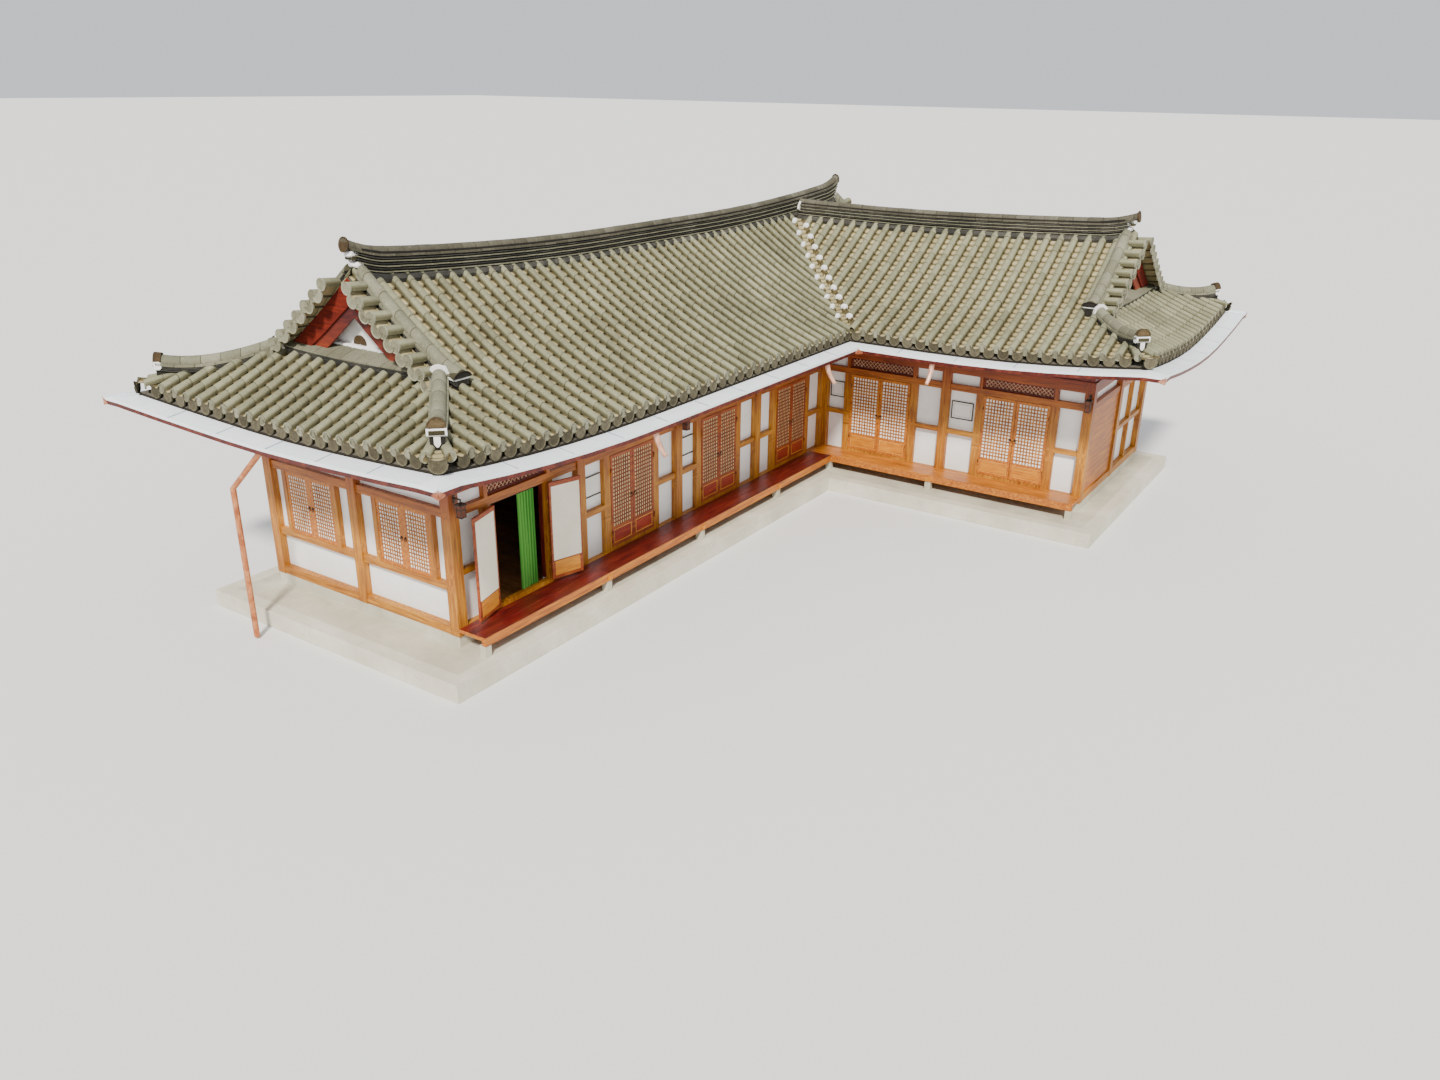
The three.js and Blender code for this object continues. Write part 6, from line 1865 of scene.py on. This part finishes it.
def build_curtain():
    """A light curtain in soft folds, hung from a rod inside the open doorway."""
    width, height = CURTAIN_RIGHT - CURTAIN_LEFT, CURTAIN_HIGH - CURTAIN_LOW
    x = np.linspace(0, 1, CURTAIN_ACROSS)
    rows = []
    for z in np.linspace(0, 1, CURTAIN_UP):
        sway = 0.08 * math.sin(5 * z) * 4 * x * (1 - x)
        fold = CURTAIN_FOLD * (1 - 0.35 * z) * np.sin(2 * math.pi * (CURTAIN_FOLDS * x + sway))
        rows.append(np.stack([CURTAIN_LEFT + width * x, CURTAIN_DEPTH + fold,
                              np.full(CURTAIN_ACROSS, CURTAIN_LOW + height * z)], -1))
    front = np.array(rows)
    cloth = np.concatenate([front, front[:, ::-1] + (0, CURTAIN_THICKNESS, 0)], axis=1)
    shapes = Shapes()
    shapes.add_grids(cloth[None], closed=True, caps=True)
    curtain = shapes.build("doorway_curtain", "house", "plaster", curtain_look())
    rod = Shapes()
    rod.add_box((LONG_DOORS[0] - LONG_LEAF, CURTAIN_DEPTH - 0.008, CURTAIN_HIGH + 0.002),
                (LONG_DOORS[0] + LONG_LEAF, CURTAIN_DEPTH + 0.008, CURTAIN_HIGH + 0.018), Matrix(), 0, 0.006)
    rod.build("curtain_rod", "house", "copper", IRON)


# Boards on the verandas and the floor, and the platform's kerb stones.
DECK_TOP = 0.65
DECK_BOARD = 0.004
# Boards across a deck: the outer and inner edge of each, and how far it stands above the rest.
DECK_BOARDS = [(-0.578, -0.485, 0.006), (-0.482, -0.332, 0), (-0.329, -0.179, 0), (-0.176, -0.006, 0)]
# Where the boards are butted along each facade.
YARD_STOPS = (0.004, 3.12, 6.08, 9.04, 11.41)
WING_STOPS = (0.004, 3.05, 6.316)
# Ends of the decks' cross beams: half width, outer and inner face, foot, top and bevel.
BEAM_ENDS = [(0.055, -0.6, -0.5805, 0.51, 0.61, 0.004), (0.035, -0.606, -0.6, 0.53, 0.59, 0.003)]
FLOOR_BOARD = 0.15
FLOOR_INSET = 0.22
KERB = 0.26
KERB_STONE = 1.25
KERB_PROUD = 0.006
KERB_JOINT = 0.003


def build_decks():
    """Boards along both verandas, with the ends of their cross beams."""
    yard, wing, ends = Shapes(), Shapes(), Shapes()
    for shapes, facade, stops in ((yard, "yard", YARD_STOPS), (wing, "wing_yard", WING_STOPS)):
        place = facade_place(facade)
        for a, b in zip(stops[:-1], stops[1:]):
            for y0, y1, up in DECK_BOARDS:
                shapes.add_box((a + 0.002, y0, DECK_TOP), (b - 0.002, y1, DECK_TOP + DECK_BOARD + up),
                               place, 0, 0.0015)
        for a in stops[1:-1]:
            for half, y0, y1, z0, z1, bevel in BEAM_ENDS:
                ends.add_box((a - half, y0, z0), (a + half, y1, z1), place, 1, bevel)
    # Painted shade: the yard's boards take the darker copy of the deck wood.
    yard.build("yard_deck_boards", "house", "deck", SHADED_DECK, smooth=False)
    wing.build("wing_deck_boards", "house", "deck", DECK_WOOD, smooth=False)
    ends.build("deck_beam_ends", "house", "deck", KICK_WOOD, smooth=False)


def build_floor_boards():
    shapes = Shapes()
    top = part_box("room_floor")[1][2]
    near, far = FLOOR_INSET, RIGHT_FACE - FLOOR_INSET
    areas = [(near, near, far, DEPTH - near), (LONG_LENGTH + near, -WING_LENGTH + near, far, near)]
    for x0, y0, x1, y1 in areas:
        count = round((x1 - x0) / FLOOR_BOARD)
        for i in range(count):
            a, b = x0 + (x1 - x0) * i / count, x0 + (x1 - x0) * (i + 1) / count
            split = y0 + (y1 - y0) * (0.35 + 0.3 * (i % 2))
            for y_low, y_high in ((y0, split), (split, y1)):
                shapes.add_box((a + 0.001, y_low + 0.001, top), (b - 0.001, y_high - 0.001, top + 0.003),
                               Matrix(), 1)
    shapes.build("floor_boards", "house", "floor", FLOOR_WOOD, smooth=False)


PLATFORM_EDGE = [(-0.9, -0.85), (10.85, -0.85), (10.85, -6.92), (17.2, -6.92), (17.2, 5.2), (-0.9, 5.2)]
INNER_CORNER = 1


def build_kerb():
    """Dressed stones along the platform's edge, a little proud of it."""
    shapes = Shapes()
    count = len(PLATFORM_EDGE)
    for i, (x0, y0) in enumerate(PLATFORM_EDGE):
        x1, y1 = PLATFORM_EDGE[(i + 1) % count]
        turn = Matrix.Rotation(math.atan2(y1 - y0, x1 - x0), 4, "Z")
        place = Matrix.Translation((x0, y0, 0)) @ turn
        start = -KERB if i == INNER_CORNER else KERB
        end = math.hypot(x1 - x0, y1 - y0) - (KERB_PROUD if i + 1 == INNER_CORNER else -KERB_PROUD)
        stones = round((end - start) / KERB_STONE)
        for k in range(stones):
            a, b = (start + (end - start) * n / stones for n in (k, k + 1))
            shapes.add_box((a + KERB_JOINT, -KERB_PROUD, 0.004),
                           (b - KERB_JOINT, KERB, PLATFORM_TOP + 0.005), place, 0, 0.006)
    shapes.build("platform_kerb", "house", "stone", KERB_GRANITE)


# The rafters under the eaves. Those near an outer corner fan out.
RAFTER_PITCH = 0.3
RAFTER_RADIUS = 0.055
RAFTER_GAP = 0.012
RAFTER_FAN = 2.5
# How far a rafter's axis runs below the roof's surface, without the gap, at the eave and the wall.
EAVE_DEPTH, WALL_DEPTH = 0.2, 0.28


def build_rafters():
    """Round rafters from the wall to the eave, close below the roof's bed."""
    shapes = Shapes()
    ring = np.linspace(0, 2 * math.pi, 10, endpoint=False)
    for name, length, both in EAVES:
        slope = SLOPES[name]
        count = round(length / RAFTER_PITCH)
        for k in range(1, count):
            s = length * k / count
            wall = s
            for corner, turn in ((0, 1), (length, -1)):
                e = abs(s - corner)
                if e < RAFTER_FAN and (corner == 0 or both):
                    wall = corner + turn * (OVERHANG + 0.5 * e)
            outer = slope.at(s, float(slope.eave(s)) + 0.02, -EAVE_DEPTH - RAFTER_GAP)
            inner = slope.at(wall, OVERHANG + 0.1, -WALL_DEPTH - RAFTER_GAP)
            way = unit(inner - outer)
            side = unit(np.cross(way, [0, 0, 1.0]))
            up = np.cross(side, way)
            around = np.cos(ring)[:, None] * side + np.sin(ring)[:, None] * up
            rows = [centre + RAFTER_RADIUS * size * around
                    for centre, size in ((outer, 0.9), (outer + way * 0.02, 1.0), (inner, 1.0))]
            grid = np.array(rows)
            grain = np.zeros(grid.shape)
            runs = np.array([0, 0.02, np.linalg.norm(inner - outer)])
            grain[..., 0] = runs[:, None] + random.uniform(-9, 9)
            grain[..., 1] = RAFTER_RADIUS * np.cos(ring)
            grain[..., 2] = RAFTER_RADIUS * np.sin(ring)
            shapes.add_grids(grid[None], closed=True, caps=True, grain=grain[None])
    shapes.build("rafters", "house", "dark_timber", RAFTER_WOOD)


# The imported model's own nodes get their materials.

def dress_nodes():
    """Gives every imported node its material."""
    looks = {
        "platform": STONE, "gutter": SHEET, "left_end_downpipe": PIPE_COPPER,
        "yard_spout_1": COPPER, "yard_spout_2": COPPER, "wing_spout": COPPER, "fascia": FASCIA,
        "left_gable": gable_look("left_gable", "X", LEFT_X, 1),
        "wing_gable": gable_look("wing_gable", "Y", WING_Y, 1),
        "far_gable": gable_look("far_gable", "X", FAR_X, -1),
    }
    solid_wood = object_wood("structure_wood", (0.2, 0.04, 0.006), (0.46, 0.14, 0.012), (0.66, 0.28, 0.028))
    # Painted shade: the yard doors' own frames take a darker, redder copy of the structure wood.
    red_wood = object_wood("shaded_yard_leaf_wood", (0.12, 0.012, 0.004), (0.3, 0.05, 0.008), (0.46, 0.13, 0.016))
    # Painted shade: the eave beam takes a near black red copy of the structure wood, for the shade under the
    # eave.
    beam_wood = object_wood("shaded_eave_beam_wood", (0.05, 0.003, 0.004), (0.14, 0.012, 0.006), (0.3, 0.05, 0.01))
    bed_look = roof_bed_look()
    for facade in FACADES:
        looks[f"{facade}_timber_frame"] = facade_timber_look(facade)
        looks[f"{facade}_plaster_wall"] = PLASTER
    for name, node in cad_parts.items():
        if name in looks:
            look = looks[name]
        elif name.startswith("roof_"):
            look = bed_look
        elif name.startswith("yard_door"):
            look = red_wood
        elif name == "eave_beam":
            look = beam_wood
        else:
            look = solid_wood
        node.data.materials.clear()
        node.data.materials.append(look)


def object_wood(name, dark, middle, light):
    look = Look(name, 0.5)
    color, streaks = timber_color(look, look.place(), dark, middle, light, STRUCTURE_GRAIN)
    look.color(color)
    look.roughness(streaks, 0.38, 0.62)
    return look.material


# Studio.
STUDIO_HALF = 400
FAR_CLIP = 1200
SUN_SPREAD = math.radians(7)


def add_camera():
    camera = bpy.data.objects.new("photograph_camera", bpy.data.cameras.new("photograph_camera"))
    camera.data.lens = CAMERA_LENS
    camera.data.sensor_width = SENSOR_WIDTH
    camera.data.clip_end = FAR_CLIP
    ahead = Vector((
        math.cos(CAMERA_YAW) * math.cos(CAMERA_PITCH),
        math.sin(CAMERA_YAW) * math.cos(CAMERA_PITCH),
        -math.sin(CAMERA_PITCH),
    ))
    level = Vector((math.sin(CAMERA_YAW), -math.cos(CAMERA_YAW), 0))
    rise = level.cross(ahead)
    right = math.cos(CAMERA_ROLL) * level + math.sin(CAMERA_ROLL) * rise
    up = right.cross(ahead)
    turn = Matrix((right, up, -ahead)).transposed().to_4x4()
    camera.matrix_world = Matrix.Translation(CAMERA_PLACE) @ turn
    bpy.context.scene.collection.objects.link(camera)
    bpy.context.scene.camera = camera


def add_floor():
    mesh = bpy.data.meshes.new("studio_floor")
    half = STUDIO_HALF
    corners = [(-half, -half, 0), (half, -half, 0), (half, half, 0), (-half, half, 0)]
    mesh.from_pydata([Vector(c) - Vector((0, 0, 0.002)) for c in corners], [], [(0, 1, 2, 3)])
    material = bpy.data.materials.new("studio_floor")
    material.use_nodes = True
    shader = material.node_tree.nodes["Principled BSDF"]
    shader.inputs["Base Color"].default_value = (0.78, 0.78, 0.77, 1)
    shader.inputs["Roughness"].default_value = 0.9
    mesh.materials.append(material)
    floor = bpy.data.objects.new("studio_floor", mesh)
    bpy.context.scene.collection.objects.link(floor)


def add_lights():
    world = bpy.data.worlds.new("studio_world")
    world.use_nodes = True
    world.node_tree.nodes["Background"].inputs["Color"].default_value = (0.93, 0.96, 1.0, 1)
    world.node_tree.nodes["Background"].inputs["Strength"].default_value = WORLD_STRENGTH
    bpy.context.scene.world = world
    sun = bpy.data.objects.new("studio_sun", bpy.data.lights.new("studio_sun", "SUN"))
    sun.data.energy = SUN_STRENGTH
    sun.data.angle = SUN_SPREAD
    sun.data.color = (1.0, 0.95, 0.87)
    sun.rotation_euler = Vector(SUN_WAY).to_track_quat("-Z", "Y").to_euler()
    bpy.context.scene.collection.objects.link(sun)


add_camera()
build_tiles()
build_valleys()
build_verges()
build_ridges()
build_gutter_trim()
build_doors()
build_windows()
build_transoms()
build_linings()
build_gable_tile()
build_hung_things()
build_curtain()
build_decks()
build_floor_boards()
build_kerb()
build_rafters()
dress_nodes()
add_floor()
add_lights()
